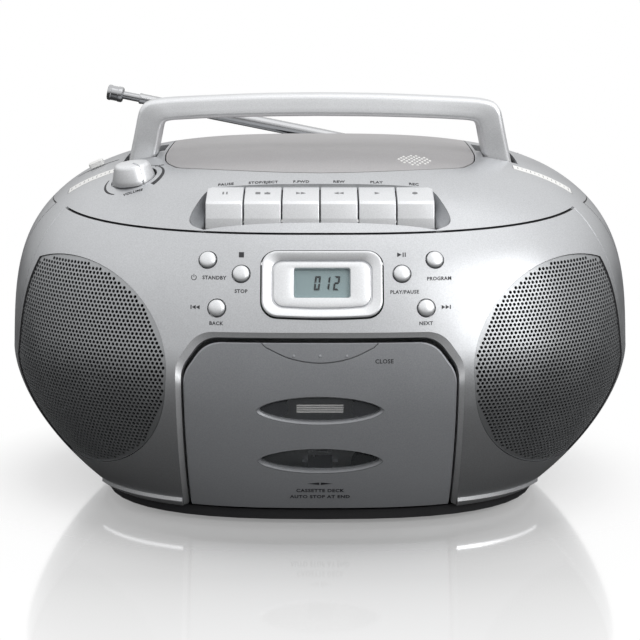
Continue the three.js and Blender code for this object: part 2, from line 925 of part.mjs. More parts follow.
function topCover() {
  const edge = 0.3;
  const region = prism(
    "x",
    [
      [-140, grooveZ(-140) + edge],
      [SEAM[4][0] + edge, grooveZ(SEAM[4][0]) + edge],
      ...[...SEAM].reverse().map(([y, z]) => [y + edge, z]),
      [STRAP_REAR_Y, SEAM[0][1]],
      [STRAP_REAR_Y, DECK_Z],
      [160, DECK_Z],
      [160, 240],
      [-140, 240],
    ],
    -200,
    200,
  );
  let made = WALLED.intersect(region);
  made = made.subtract(prism("z", KEY_POCKET, 130, 200));
  made = made.subtract(prism("z", lidOutline(0.6), 150, 200));
  const sweep = LID_HALF_WIDTH + 0.6; // room for the lid's rear edge as it tips back
  made = made.subtract(block([-sweep, sweep], [70, LID_REAR_Y + 1.4], [150, 200]));
  for (const side of [-1, 1]) {
    const x = side < 0 ? [-106.5, -85.4] : [85.4, 106.5];
    made = made.subtract(block(x, [-14, 30], [150, 200]));
    made = made.subtract(stripBlock(side, 0.3).subtract(bodySolid(2, 120, 56, 3, 13)));
  }
  const knobAt = [KNOB_AT.x, KNOB_AT.y, KNOB_Z];
  const boss = rod(KNOB_SEAT.radius + 1.8, -6.8, 7, 32, knobAt, KNOB_AXIS).intersect(BODY);
  const seat = rod(KNOB_SEAT.radius, -KNOB_SEAT.depth, 20, 32, knobAt, KNOB_AXIS);
  const shaft = rod(3.4, -20, 20, 20, knobAt, KNOB_AXIS);
  const slot = block([-12, 12], [-1.5, 1.5], [-9, 9]).transform(
    matrixTo(SLIDER_AT, SLIDER_NORMAL).elements,
  );
  return made.add(boss).subtract(seat).subtract(shaft).subtract(slot);
}

node("top_cover", topCover(), SILVER);

for (const [name, side] of [["left_scale_strip", -1], ["right_scale_strip", 1]]) {
  const skin = bodySolid(0.3, 120, 56, 3, 13).subtract(bodySolid(1.6, 110, 56, 3, 13));
  node(name, skin.intersect(stripBlock(side, 0)), WHITE);
}

const BAY = { x: 74, y: [46, 130], z: [42.8, 84] };
const INLET = { x: 100, z: 58, halfWidth: 10, halfHeight: 6 };

function rearY(x, z) {
  const scale = sliceScale(z, 0);
  const share = 1 - (Math.abs(x) / (BODY_HALF_WIDTH * scale)) ** PLAN_POWER;
  return sliceShift(z) + REAR_REACH * scale * Math.max(share, 0) ** (1 / PLAN_POWER);
}

function rearCover() {
  const region = block([-200, 200], [STRAP_REAR_Y + 0.5, 160], [CASE_BOTTOM_Z - 1, DECK_Z - 0.5]);
  const tray = block(
    [-BAY.x - 2, BAY.x + 2],
    [BAY.y[0] - 2, BAY.y[1]],
    [BAY.z[0] - 2, BAY.z[1] + 2],
  ).intersect(BODY);
  const { x, z, halfWidth, halfHeight } = INLET;
  return WALLED.add(tray)
    .subtract(block([-BAY.x, BAY.x], [BAY.y[0], BAY.y[1] + 10], BAY.z))
    .subtract(
      block(
        [x - halfWidth - 0.4, x + halfWidth + 0.4],
        [40, 160],
        [z - halfHeight - 0.4, z + halfHeight + 0.4],
      ),
    )
    .intersect(region);
}

node("rear_cover", rearCover(), SILVER);
node(
  "battery_door",
  bodySolid(0.4, 0, 56, 9, 8)
    .subtract(bodySolid(2.4, -6, 56, 9, 8))
    .intersect(
      block([0.5 - BAY.x, BAY.x - 0.5], [60, 160], [BAY.z[0] + 1.6, BAY.z[1] - 0.5]),
    ),
  SILVER,
);

function acInlet() {
  const { x, z, halfWidth, halfHeight } = INLET;
  const face = rearY(x + halfWidth, z) - 1.2;
  const shell = block(
    [x - halfWidth, x + halfWidth],
    [face - 16, face],
    [z - halfHeight, z + halfHeight],
  ).subtract(
    prism("y", roundedRect(x, z, 7.4, 3.8, 3.6), face - 13, face + 2),
  );
  const pins = [-4, 4].map((dx) =>
    rod(1, face - 14, face - 2, 12, [x + dx, 0, z], [0, 1, 0]),
  );
  return joined([shell, ...pins]);
}

node("ac_inlet", acInlet(), BLACK);

// ---------------------------------------------------------------- knobs
function volumeKnob() {
  const body = turned(
    [
      [0, -11],
      [2.9, -11],
      [2.9, -2.4],
      [11.3, -2.4],
      [11.4, -1.4],
      [9.1, 6.6],
      [8.5, 7.4],
      [0, 7.8],
    ],
    36,
  );
  const pointer = block([-0.7, 0.7], [-14, -2], [6.7, 12]).rotate([0, 0, 30]);
  return body.subtract(pointer);
}

node("volume_knob", volumeKnob(), BRIGHT, [KNOB_AT.x, KNOB_AT.y, KNOB_Z], KNOB_AXIS);

function slider() {
  const cap = prism("z", roundedRect(0, 0, 4, 2.6, 1), 0.6, 3.6);
  const stem = block([-2.4, 2.4], [-1.1, 1.1], [-5, 1]);
  return cap.add(stem);
}

node("function_slider", slider(), WHITE, SLIDER_AT, SLIDER_NORMAL);

function tuningWheel() {
  const points = [];
  const count = 40;
  for (let i = 0; i < count; i += 1) {
    const a = (i / count) * Math.PI * 2;
    const r = i % 2 ? 15 : 15.7;
    points.push([r * Math.cos(a), r * Math.sin(a)]);
  }
  return prism("y", points, -3.6, 3.6);
}

const tunerCentre = new THREE.Vector3(...TUNER_AT).addScaledVector(
  new THREE.Vector3(...TUNER_NORMAL),
  -12.6,
);
node("tuning_wheel", tuningWheel(), DARK, tunerCentre.toArray(), TUNER_NORMAL);

// ---------------------------------------------------------------- carry handle
function carryHandle() {
  const outer = [
    [111, 156],
    [102.6, 178],
    [97, 203],
    [95.4, 207],
    [92, 209.2],
  ];
  const inner = [
    [81, 199.4],
    [83.6, 197.6],
    [85, 194],
    [88.6, 178],
    [97, 156],
  ];
  const points = [];
  for (const [x, z] of outer) points.push([-x, z]);
  for (let i = 1; i < 12; i += 1) {
    const t = (i / 12) * 2 - 1;
    points.push([t * 92, 213.4 - 4.2 * t * t]);
  }
  for (const [x, z] of [...outer].reverse()) points.push([x, z]);
  for (const [x, z] of [...inner].reverse()) points.push([x, z]);
  for (let i = 1; i < 12; i += 1) {
    const t = 1 - (i / 12) * 2;
    points.push([t * 81, 201.8 - 2.4 * t * t]);
  }
  for (const [x, z] of inner) points.push([-x, z]);
  const arch = prism("y", points, -40, 40);
  const half = HANDLE_DEPTH / 2;
  const side = [];
  for (let i = 0; i <= 8; i += 1) {
    const a = Math.PI + (i / 8) * Math.PI;
    side.push([
      HANDLE_PIVOT.y + (half - 1) * Math.cos(a),
      HANDLE_PIVOT.z + (half - 1) * Math.sin(a),
    ]);
  }
  side.push([HANDLE_PIVOT.y + half, 200]);
  side.push([HANDLE_PIVOT.y + half, 209]);
  side.push([HANDLE_PIVOT.y + half - 2.5, 216]);
  side.push([HANDLE_PIVOT.y - half + 2.5, 216]);
  side.push([HANDLE_PIVOT.y - half, 209]);
  side.push([HANDLE_PIVOT.y - half, 200]);
  return arch.intersect(prism("x", side, -130, 130));
}

node("carry_handle", carryHandle(), SILVER);

// ---------------------------------------------------------------- antenna
const MAST_TURN = MAST_ANGLE - Math.PI / 2;

function mastNode(name, made) {
  const mesh = node(name, made, CHROME, [MAST_PIVOT.x, MAST_PIVOT.y, MAST_PIVOT.z]);
  mesh.rotation.y = MAST_TURN;
}

function mastTube(outer, bore, from, floor, to) {
  return turned(
    [
      [0, from],
      [outer, from],
      [outer, to],
      [bore, to],
      [bore, floor],
      [0, floor],
    ],
    16,
  );
}

function mastKnuckle() {
  const disc = rod(6, -5.5, -3.2, 20, [0, 0, 0], [0, 1, 0]);
  const ears = [-4.1, 4.1].map((x) => block([x - 0.9, x + 0.9], [-3.6, 3.4], [-4, 4]));
  return joined([disc, ...ears]);
}

function mastBase() {
  const tongue = rod(2.6, -2.8, 2.8, 16, [0, 0, 0], [1, 0, 0]);
  const neck = block([-2.6, 2.6], [-2.2, 2.2], [0, 7.5]);
  return joined([tongue, neck, mastTube(3.8, 3.35, 6.8, 12, 173)]);
}

function mastTip() {
  const stem = rod(2.35, 45, 210, 16);
  const knob = turned(
    [
      [0, MAST_LENGTH - 9.4],
      [3.6, MAST_LENGTH - 9.4],
      [4.6, MAST_LENGTH - 8],
      [4.6, MAST_LENGTH - 1],
      [3.8, MAST_LENGTH],
      [0, MAST_LENGTH],
    ],
    16,
  );
  return stem.add(knob);
}

mastNode("antenna_knuckle", mastKnuckle());
mastNode("antenna_base_tube", mastBase());
mastNode("antenna_middle_tube", mastTube(3.05, 2.6, 30, 34, 200));
mastNode("antenna_tip_rod", mastTip());

// ---------------------------------------------------------------- base and inside
function basePlate() {
  const points = [];
  const scale = sliceScale(CASE_BOTTOM_Z, 0);
  for (let i = 0; i < 48; i += 1) {
    const [x, y] = slicePoint(8, scale, (i / 48) * Math.PI * 2, 3);
    points.push([x, y]);
  }
  return prism("z", points, 2.8, CASE_BOTTOM_Z - 0.3);
}

node("base_plate", basePlate(), BLACK);

const FEET = [
  ["front_left_foot", -78, -56],
  ["front_right_foot", 78, -56],
  ["rear_left_foot", -78, 58],
  ["rear_right_foot", 78, 58],
];
for (const [name, x, y] of FEET) node(name, rod(8, 0, 2.5, 20, [x, y, 0]), RUBBER);

node(
  "main_board",
  block([-58, 58], [-70, 36], [11, 12.6]).add(block([-30, -12], [-10, 8], [12.4, 18])),
  BOARD,
);
node(
  "transformer",
  joined([
    block([-104, -80], [8, 42], [13, 46]),
    block([-107, -77.5], [14, 36], [17, 42]),
  ]),
  STEEL,
);

export default group;
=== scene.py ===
import math

import bmesh
import bpy
import numpy as np
from mathutils import Matrix, Vector


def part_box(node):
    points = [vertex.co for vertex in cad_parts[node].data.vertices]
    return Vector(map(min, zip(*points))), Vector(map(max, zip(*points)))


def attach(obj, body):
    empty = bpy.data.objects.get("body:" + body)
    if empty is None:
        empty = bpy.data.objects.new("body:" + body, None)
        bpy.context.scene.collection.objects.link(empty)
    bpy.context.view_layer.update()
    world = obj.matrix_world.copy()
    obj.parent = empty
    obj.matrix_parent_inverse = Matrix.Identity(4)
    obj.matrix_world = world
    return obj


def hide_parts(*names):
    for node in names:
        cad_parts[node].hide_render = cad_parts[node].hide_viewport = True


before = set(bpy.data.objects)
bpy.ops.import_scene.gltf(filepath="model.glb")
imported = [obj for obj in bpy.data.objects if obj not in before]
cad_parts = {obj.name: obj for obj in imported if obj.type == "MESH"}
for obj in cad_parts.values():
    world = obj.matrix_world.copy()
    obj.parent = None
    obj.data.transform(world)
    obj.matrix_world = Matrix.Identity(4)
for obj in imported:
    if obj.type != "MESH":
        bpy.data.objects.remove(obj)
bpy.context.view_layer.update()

MM = 0.001
SLIVER = 0.002 * MM

# ------------------------------------------------------------------ driving dimensions, mm
HALF_WIDTH, FRONT_REACH, REAR_REACH = 165.0, 119.0, 115.0
PLAN_POWER = 2.65
WIDEST_Z, UPPER_REACH, UPPER_POWER = 83.0, 102.5, 3.35
LOWER_REACH, LOWER_POWER = 128.0, 1.65
LEAN, SHIFT = 0.28, -3.77
CASE_BOTTOM = 8.3
WALL = 2.6
MEAN_REACH, SKIN_DEPTH, SKIN_TURN = 120.0, 0.48, 0.7
SEAM = [(-52, 8), (-53, 60), (-54, 110), (-50, 140), (-43.5, 157.3)]
GRILLE_TURN = math.radians(21.3)
GRILLE_CENTRE, GRILLE_RADII, GRILLE_REAR_Y = (90.0, 84.0), (62.5, 54.3), -57.0
DOOR_HALF, DOOR_TOP, DOOR_BOTTOM = 66.6, 103.8, 10.0
DOOR_GAP, DOOR_TRIM, DOOR_EDGE = 1.3, 2.3, 0.8
WINDOW_HALF, WINDOW_RISE, WINDOW_Z = 29.6, 6.6, (69.6, 40.9)
BUTTON_RADIUS, LCD_RISE = 4.4, 0.35
LID_HALF, LID_REAR = 82.0, 76.0
KEY_PITCH, KEY_GAP = 18.93, 0.7
MAST_PIVOT = np.array([88.0, 100.0, 162.4])
MAST_TIP = np.array([-127.0, 100.0, 205.8])
KNOB_XY = (-96.2, -43.0)
DISPLAY_Z = 129.7


# ------------------------------------------------------------------ the rounded body
def slice_scale(z, inset=0.0):
    z = np.asarray(z, float)
    up = np.clip(np.abs(z - WIDEST_Z) / (UPPER_REACH - inset), 0, 1)
    down = np.clip(np.abs(z - WIDEST_Z) / (LOWER_REACH - inset), 0, 1)
    upper = (1 - up**UPPER_POWER) ** (1 / UPPER_POWER)
    soft = down**LOWER_POWER * (down * 1.04 / (down + 0.04)) ** 0.35
    lower = (1 - soft) ** (1 / LOWER_POWER)
    return np.where(z < WIDEST_Z, lower, upper)


def slice_shift(z):
    return SHIFT + LEAN * np.maximum(np.asarray(z, float) - WIDEST_Z, 0)


def field(p, inset=0.0):
    """Below 1 inside the body, above 1 outside."""
    x, y, z = p[..., 0], p[..., 1], p[..., 2]
    scale = np.maximum(slice_scale(z, inset), 1e-6)
    across = y - slice_shift(z)
    reach = np.where(across < 0, FRONT_REACH, REAR_REACH) - inset
    a = (np.abs(x) / ((HALF_WIDTH - inset) * scale)) ** PLAN_POWER
    b = (np.abs(across) / (reach * scale)) ** PLAN_POWER
    value = (a + b) ** (1 / PLAN_POWER)
    over = np.maximum(z - (WIDEST_Z + UPPER_REACH - inset), 0)
    return value + over


def normal_at(p):
    """Outward unit normals of the body's skin."""
    p = np.asarray(p, float)
    grad = np.zeros_like(p)
    for axis in range(3):
        step = np.zeros(3)
        step[axis] = 0.25
        grad[..., axis] = field(p + step) - field(p - step)
    size = np.linalg.norm(grad, axis=-1, keepdims=True)
    return grad / np.maximum(size, 1e-12)


def shading_normal_at(p):
    """Skin normals for shading, eased where the upper and lower curves of the side meet."""
    p = np.asarray(p, float)
    ease = np.clip(1 - (np.abs(p[..., 2] - 86) - 10) / 40, 0, 1)
    grad = np.zeros_like(p)
    for axis in range(3):
        width = 0.25 + (17 * ease if axis == 2 else 0 * ease)
        step = np.zeros_like(p)
        step[..., axis] = width
        grad[..., axis] = (field(p + step) - field(p - step)) / width
    size = np.linalg.norm(grad, axis=-1, keepdims=True)
    return grad / np.maximum(size, 1e-12)


def cast(origin, direction, reach=400.0):
    """The outermost skin point along each line, going inwards from origin + reach * direction."""
    origin = np.atleast_2d(np.asarray(origin, float))
    direction = np.asarray(direction, float)
    low = np.zeros(len(origin))
    high = np.full(len(origin), reach)
    for _ in range(46):
        middle = (low + high) / 2
        inside = field(origin + middle[:, None] * direction) < 1
        low = np.where(inside, middle, low)
        high = np.where(inside, high, middle)
    return origin + low[:, None] * direction


def front_point(x, z):
    x, z = np.broadcast_arrays(np.asarray(x, float), np.asarray(z, float))
    start = np.stack([x.ravel(), np.full(x.size, -10.0), z.ravel()], -1)
    return cast(start, (0, -1, 0), 160)


def top_point(x, y):
    x, y = np.broadcast_arrays(np.asarray(x, float), np.asarray(y, float))
    start = np.stack([x.ravel(), y.ravel(), np.full(x.size, 100.0)], -1)
    return cast(start, (0, 0, 1), 110)


def spot(find, x, y):
    """One skin point and its normal."""
    at = find(x, y)[0]
    return at, normal_at(at[None])[0]


def groove_z(y):
    """Height of the parting line between the top cover and the front."""
    return 151.9 + 0.115 * (y + 93.3)


# ------------------------------------------------------------------ mesh helpers
def link(obj):
    bpy.context.scene.collection.objects.link(obj)
    return obj


def make(name, verts, faces, smooth=True):
    mesh = bpy.data.meshes.new(name)
    scaled = (np.asarray(verts, float) * MM).tolist()
    mesh.from_pydata(scaled, [], faces if isinstance(faces, list) else faces.tolist())
    mesh.validate()
    mesh.polygons.foreach_set("use_smooth", [smooth] * len(mesh.polygons))
    mesh.update()
    return link(bpy.data.objects.new(name, mesh))


def plan_ring(around):
    """The body's plan curve, scaled to a half width and reach of 1."""
    angle = (np.arange(around) + 0.5) / around * 2 * math.pi
    c, s = np.cos(angle), np.sin(angle)
    power = 2 / PLAN_POWER
    return np.sign(c) * np.abs(c) ** power, np.sign(s) * np.abs(s) ** power


def body_object(inset, low=CASE_BOTTOM - 10, around=192, lower=36, upper=44):
    """The body offset inwards, from a flat bottom at low, with rings below and above its widest."""
    levels = [(low + (WIDEST_Z - low) * i / lower) for i in range(lower)]
    rings = [(z, float(slice_scale(z, inset))) for z in levels]
    for i in range(upper):
        t = i / upper * math.pi / 2
        rise = math.sin(t) ** (2 / UPPER_POWER)
        scale = math.cos(t) ** (2 / UPPER_POWER)
        rings.append((WIDEST_Z + (UPPER_REACH - inset) * rise, scale))
    plan_x, plan_y = plan_ring(around)
    x0 = plan_x * (HALF_WIDTH - inset)
    y0 = plan_y * (np.where(plan_y < 0, FRONT_REACH, REAR_REACH) - inset)
    verts = []
    for z, scale in rings:
        ring = np.stack([x0 * scale, y0 * scale + slice_shift(z), np.full(around, z)], -1)
        verts.extend(ring.tolist())
    top_z = WIDEST_Z + UPPER_REACH - inset
    bottom = len(verts)
    verts.append([0, float(slice_shift(low)), low])
    verts.append([0, float(slice_shift(top_z)), top_z])
    faces = []
    for k in range(around):
        n = (k + 1) % around
        last = (len(rings) - 1) * around
        faces.append((bottom, n, k))
        faces.append((bottom + 1, last + k, last + n))
        for j in range(len(rings) - 1):
            a, b = j * around + k, j * around + n
            faces.append((a, b, b + around, a + around))
    return make("body", verts, faces)


def prism(axis, outline, low, high):
    """An outline swept along an axis. The outline is (y, z) for x, (x, z) for y, (x, y) for z."""
    order = {"x": (2, 0, 1), "y": (0, 2, 1), "z": (0, 1, 2)}[axis]
    area = 0.0
    for (a, b), (c, d) in zip(outline, outline[1:] + outline[:1]):
        area += a * d - c * b
    ring = list(outline) if area > 0 else list(outline)[::-1]
    n = len(ring)
    verts = []
    for depth in (low, high):
        for a, b in ring:
            local = (a, b, depth)
            verts.append([local[order[0]], local[order[1]], local[order[2]]])
    faces = [tuple(range(n))[::-1], tuple(range(n, 2 * n))]
    for i in range(n):
        j = (i + 1) % n
        faces.append((i, j, n + j, n + i))
    if axis == "y":
        faces = [f[::-1] for f in faces]
    return make("cutter", verts, faces, smooth=False)


def block(x, y, z):
    outline = [(x[0], y[0]), (x[1], y[0]), (x[1], y[1]), (x[0], y[1])]
    return prism("z", outline, z[0], z[1])


def lathe_data(profile, segments):
    verts, faces, rings = [], [], []
    for r, z in profile:
        if r < 1e-6:
            rings.append([len(verts)] * segments)
            verts.append([0, 0, z])
            continue
        ring = []
        for i in range(segments):
            a = i / segments * 2 * math.pi
            ring.append(len(verts))
            verts.append([r * math.cos(a), r * math.sin(a), z])
        rings.append(ring)
    for one, two in zip(rings, rings[1:]):
        for i in range(segments):
            j = (i + 1) % segments
            quad = [one[i], one[j], two[j], two[i]]
            face = tuple(dict.fromkeys(quad))
            if len(face) > 2:
                faces.append(face)
    return verts, faces


def turn_to(along):
    return Vector((0, 0, 1)).rotation_difference(Vector(along).normalized())


def placed(verts, at, along):
    q = turn_to(along)
    matrix = np.array(q.to_matrix())
    return np.asarray(verts, float) @ matrix.T + np.asarray(at, float)


def lathe(name, profile, segments=48, at=(0, 0, 0), along=(0, 0, 1), sharp=35):
    verts, faces = lathe_data(profile, segments)
    return sharpen(make(name, placed(verts, at, along), faces), sharp)


def edit(obj, change):
    """Opens an object's mesh, lets the change act on it and writes it back."""
    bm = bmesh.new()
    bm.from_mesh(obj.data)
    change(bm)
    bm.to_mesh(obj.data)
    bm.free()
    return obj


def sharpen(obj, degrees=35):
    """Smooth shading that breaks at edges steeper than the angle."""
    def mark(bm):
        for edge in bm.edges:
            edge.smooth = len(edge.link_faces) == 2 and edge.calc_face_angle(0) < math.radians(degrees)
    return edit(obj, mark)


def rod_cutter(radius, low, high, at, along, segments=48):
    profile = [(0, low), (radius, low), (radius, high), (0, high)]
    verts, faces = lathe_data(profile, segments)
    return make("cutter", placed(verts, at, along), faces, smooth=False)


def cut(target, cutter, operation="DIFFERENCE", keep=False):
    """A boolean whose result replaces the target's mesh."""
    for solver in ("MANIFOLD", "EXACT"):
        modifier = target.modifiers.new("cut", "BOOLEAN")
        modifier.solver = solver
        modifier.operation = operation
        modifier.object = cutter
        graph = bpy.context.evaluated_depsgraph_get()
        result = bpy.data.meshes.new_from_object(target.evaluated_get(graph))
        target.modifiers.clear()
        if len(result.polygons) > 3:
            break
    old = target.data
    target.data = result
    bpy.data.meshes.remove(old)
    if not keep:
        bpy.data.objects.remove(cutter)
    return target


def copy_of(obj):
    twin = obj.copy()
    twin.data = obj.data.copy()
    return link(twin)


def skin_normals(obj, inset=0.0, tilt=1.0):
    """Body-smooth normals on faces that lie on the skin, plain face normals on the cut walls.

    A tilt below 1 shades the skin as a flatter, more upright panel.
    """
    mesh = obj.data
    n = len(mesh.vertices)
    co = np.zeros(n * 3)
    mesh.vertices.foreach_get("co", co)
    co = co.reshape(-1, 3) / MM
    analytic = shading_normal_at(co) * (1, 1, tilt)
    analytic /= np.linalg.norm(analytic, axis=-1, keepdims=True)
    faces = len(mesh.polygons)
    face_normal = np.zeros(faces * 3)
    mesh.polygons.foreach_get("normal", face_normal)
    face_normal = face_normal.reshape(-1, 3)
    loops = len(mesh.loops)
    loop_vert = np.zeros(loops, int)
    mesh.loops.foreach_get("vertex_index", loop_vert)
    totals = np.zeros(faces, int)
    mesh.polygons.foreach_get("loop_total", totals)
    loop_face = np.repeat(np.arange(faces), totals)
    agree = np.einsum("ij,ij->i", analytic[loop_vert], face_normal[loop_face])
    off = np.abs(field(co, inset) - 1) * MEAN_REACH
    bad = np.zeros(faces)
    np.maximum.at(bad, loop_face, off[loop_vert])
    worst = np.ones(faces)
    np.minimum.at(worst, loop_face, agree)
    on_skin = (bad < SKIN_DEPTH) & (worst > SKIN_TURN)
    normals = np.where(on_skin[loop_face][:, None], analytic[loop_vert], face_normal[loop_face])
    mesh.polygons.foreach_set("use_smooth", [True] * faces)
    mesh.normals_split_custom_set(normals.tolist())
    return obj


def outward(obj):
    """Turns every face of a closed mesh to look outwards."""
    return edit(obj, lambda bm: bmesh.ops.recalc_face_normals(bm, faces=bm.faces))


def drop_slivers(obj):
    """Merges doubled points and removes faces and edges of no size."""
    def clean(bm):
        bmesh.ops.remove_doubles(bm, verts=bm.verts, dist=SLIVER)
        bmesh.ops.dissolve_degenerate(bm, edges=bm.edges, dist=SLIVER)
    return edit(obj, clean)


def join_data(parts):
    """Several (verts, faces) as one."""
    verts, faces = [], []
    for v, f in parts:
        base = len(verts)
        verts.extend(np.asarray(v).tolist())
        faces.extend([tuple(base + i for i in face) for face in f])
    return verts, faces


def studs(name, profile, segments, spots, sharp=35):
    """One turned shape repeated at many places, as one mesh."""
    verts, faces = lathe_data(profile, segments)
    parts = [(placed(verts, at, along), faces) for at, along in spots]
    return sharpen(make(name, *join_data(parts)), sharp)


# ------------------------------------------------------------------ materials
def noise(tree, scale, detail=3.0, stretch=None):
    coords = tree.nodes.new("ShaderNodeTexCoord")
    texture = tree.nodes.new("ShaderNodeTexNoise")
    texture.inputs["Scale"].default_value = scale
    texture.inputs["Detail"].default_value = detail
    mapping = tree.nodes.new("ShaderNodeMapping")
    mapping.inputs["Rotation"].default_value = (0.5, 0.7, 0.3)
    mapping.inputs["Scale"].default_value = stretch or (1, 1, 1)
    tree.links.new(coords.outputs["Object"], mapping.inputs["Vector"])
    tree.links.new(mapping.outputs["Vector"], texture.inputs["Vector"])
    return texture.outputs["Fac"]


def spread(tree, value, low, high, span=(0.3, 0.7)):
    node = tree.nodes.new("ShaderNodeMapRange")
    node.inputs["From Min"].default_value = span[0]
    node.inputs["From Max"].default_value = span[1]
    node.inputs["To Min"].default_value = low
    node.inputs["To Max"].default_value = high
    tree.links.new(value, node.inputs["Value"])
    return node.outputs["Result"]


def maths(tree, operation, a, b):
    node = tree.nodes.new("ShaderNodeMath")
    node.operation = operation
    for socket, value in zip(node.inputs, (a, b)):
        if isinstance(value, (int, float)):
            socket.default_value = value
        else:
            tree.links.new(value, socket)
    return node.outputs[0]


def finish(name, color, metallic, rough, fleck=0.03, fleck_scale=1700.0, cloud=0.03,
           rough_range=0.05, grain=0.02, grain_scale=1500.0, stretch=None, **sockets):
    """A moulded or painted surface: colour clouds, fine fleck, uneven gloss and a micro bump."""
    made = bpy.data.materials.new(name)
    made.use_nodes = True
    tree = made.node_tree
    shader = tree.nodes["Principled BSDF"]
    clouds = spread(tree, noise(tree, 22.0), 1 - cloud, 1 + cloud)
    flecks = spread(tree, noise(tree, fleck_scale, 1.0, stretch), 1 - fleck, 1 + fleck)
    value = maths(tree, "MULTIPLY", clouds, flecks)
    scaled = tree.nodes.new("ShaderNodeMix")
    scaled.data_type = "RGBA"
    scaled.blend_type = "MULTIPLY"
    scaled.inputs[0].default_value = 1.0
    scaled.inputs[6].default_value = (*color, 1)
    tree.links.new(value, scaled.inputs[7])
    tree.links.new(scaled.outputs[2], shader.inputs["Base Color"])
    smear = spread(tree, noise(tree, 60.0, 4.0, stretch), -1, 1)
    fine = spread(tree, noise(tree, fleck_scale * 0.6, 1.0, stretch), -0.5, 0.5)
    uneven = maths(tree, "MULTIPLY", maths(tree, "ADD", smear, fine), rough_range)
    tree.links.new(maths(tree, "ADD", uneven, rough), shader.inputs["Roughness"])
    bump = tree.nodes.new("ShaderNodeBump")
    bump.inputs["Strength"].default_value = 0.5
    bump.inputs["Distance"].default_value = grain * MM
    tree.links.new(noise(tree, grain_scale, 2.0, stretch), bump.inputs["Height"])
    tree.links.new(bump.outputs["Normal"], shader.inputs["Normal"])
    shader.inputs["Metallic"].default_value = metallic
    for socket, amount in sockets.items():
        shader.inputs[socket.replace("_", " ")].default_value = amount
    return made


SILVER = finish("silver_plastic", (0.52, 0.53, 0.545), 0.8, 0.36, fleck=0.07, cloud=0.02,
                rough_range=0.04, grain=0.012)
DOOR = finish("door_plastic", (0.285, 0.293, 0.308), 0.28, 0.42, fleck=0.07, cloud=0.02,
              rough_range=0.04, grain=0.012)
LID = finish("lid_plastic", (0.45, 0.44, 0.445), 0.6, 0.42, fleck=0.06, cloud=0.02,
             rough_range=0.04, grain=0.012)
GRILLE = finish("grille_metal", (0.38, 0.39, 0.40), 0.85, 0.38, fleck=0.05, cloud=0.03)
BRIGHT = finish("bright_plastic", (0.76, 0.77, 0.785), 0.7, 0.37, fleck=0.05, cloud=0.02,
                rough_range=0.03, grain=0.008)
CHROME = finish("chrome", (0.46, 0.465, 0.475), 1.0, 0.12, fleck=0.02, cloud=0.02,
                rough_range=0.03, grain=0.002, grain_scale=900, stretch=(1, 1, 0.05))
BLACK = finish("black_plastic", (0.018, 0.018, 0.02), 0.0, 0.5, fleck=0.12, cloud=0.08,
               grain=0.05, grain_scale=1800)
INK = finish("ink", (0.02, 0.02, 0.024), 0.0, 0.55, fleck=0.1, cloud=0.05)
GREY_INK = finish("grey_ink", (0.20, 0.205, 0.21), 0.2, 0.5, fleck=0.1, cloud=0.05)
PAPER = finish("cone_paper", (0.02, 0.02, 0.022), 0.0, 0.85, fleck=0.25, fleck_scale=900,
               grain=0.12, grain_scale=700)
RUBBER = finish("rubber", (0.014, 0.014, 0.014), 0.0, 0.75, fleck=0.15, grain=0.08, grain_scale=1200)
STEEL = finish("steel", (0.50, 0.51, 0.53), 0.95, 0.4, fleck=0.08, fleck_scale=1200,
               rough_range=0.07, grain=0.01, stretch=(1, 1, 0.06))
WHITE = finish("white_plastic", (0.80, 0.80, 0.785), 0.0, 0.38, fleck=0.02, cloud=0.02, grain=0.01)
BOARD = finish("circuit_board", (0.03, 0.16, 0.06), 0.0, 0.42, fleck=0.1, cloud=0.15, grain=0.02)
LCD = finish("lcd", (0.25, 0.335, 0.35), 0.0, 0.4, fleck=0.03, cloud=0.03, grain=0.004)
DIGIT = finish("lcd_digit", (0.002, 0.005, 0.008), 0.0, 0.6, fleck=0.05)
SMOKE = finish("clear_smoke", (0.16, 0.17, 0.18), 0.0, 0.06, fleck=0.02, cloud=0.03,
               rough_range=0.02, grain=0.004, grain_scale=120, Alpha=0.14, Coat_Weight=0.5)
CLEAR = finish("clear_pane", (0.55, 0.6, 0.6), 0.0, 0.05, fleck=0.01, cloud=0.02,
               rough_range=0.02, grain=0.003, grain_scale=120, Alpha=0.03)


def piece(obj, name, body, materials, replaces=()):
    """Names, colours and places a piece. A mesh that came from a boolean may hold an empty slot."""
    obj.name = name
    obj.data.name = name
    held = obj.data.materials
    for index, one in enumerate(materials if isinstance(materials, list) else [materials]):
        if index < len(held):
            held[index] = one
        else:
            held.append(one)
    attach(obj, body)
    if replaces:
        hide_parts(*replaces)


def dark_inside(obj):
    """Faces that lie on the inner wall take the second material."""
    mesh = obj.data
    centre = np.zeros(len(mesh.polygons) * 3)
    mesh.polygons.foreach_get("center", centre)
    deep = field(centre.reshape(-1, 3) / MM, WALL * 0.7) < 1
    mesh.polygons.foreach_set("material_index", deep.astype(int).tolist())
    mesh.update()


def panel_piece(made, name, node):
    """A cabinet panel, silver outside and black inside."""
    drop_slivers(made)
    skin_normals(made)
    dark_inside(made)
    piece(made, name, "case", [SILVER, BLACK], [node])


# ------------------------------------------------------------------ outlines
def spline(points, steps=8):
    """Points on a smooth curve through the given points."""
    pts = [np.asarray(p, float) for p in points]
    n = len(pts)
    made = []
    for i in range(n - 1):
        p1, p2 = pts[i], pts[i + 1]
        p0 = pts[i - 1] if i > 0 else 2 * p1 - p2
        p3 = pts[i + 2] if i + 2 < n else 2 * p2 - p1
        for k in range(steps):
            t = k / steps
            made.append(0.5 * (2 * p1 + (p2 - p0) * t + (2 * p0 - 5 * p1 + 4 * p2 - p3) * t * t
                               + (3 * p1 - p0 - 3 * p2 + p3) * t**3))
    made.append(pts[-1])
    return [tuple(p) for p in made]


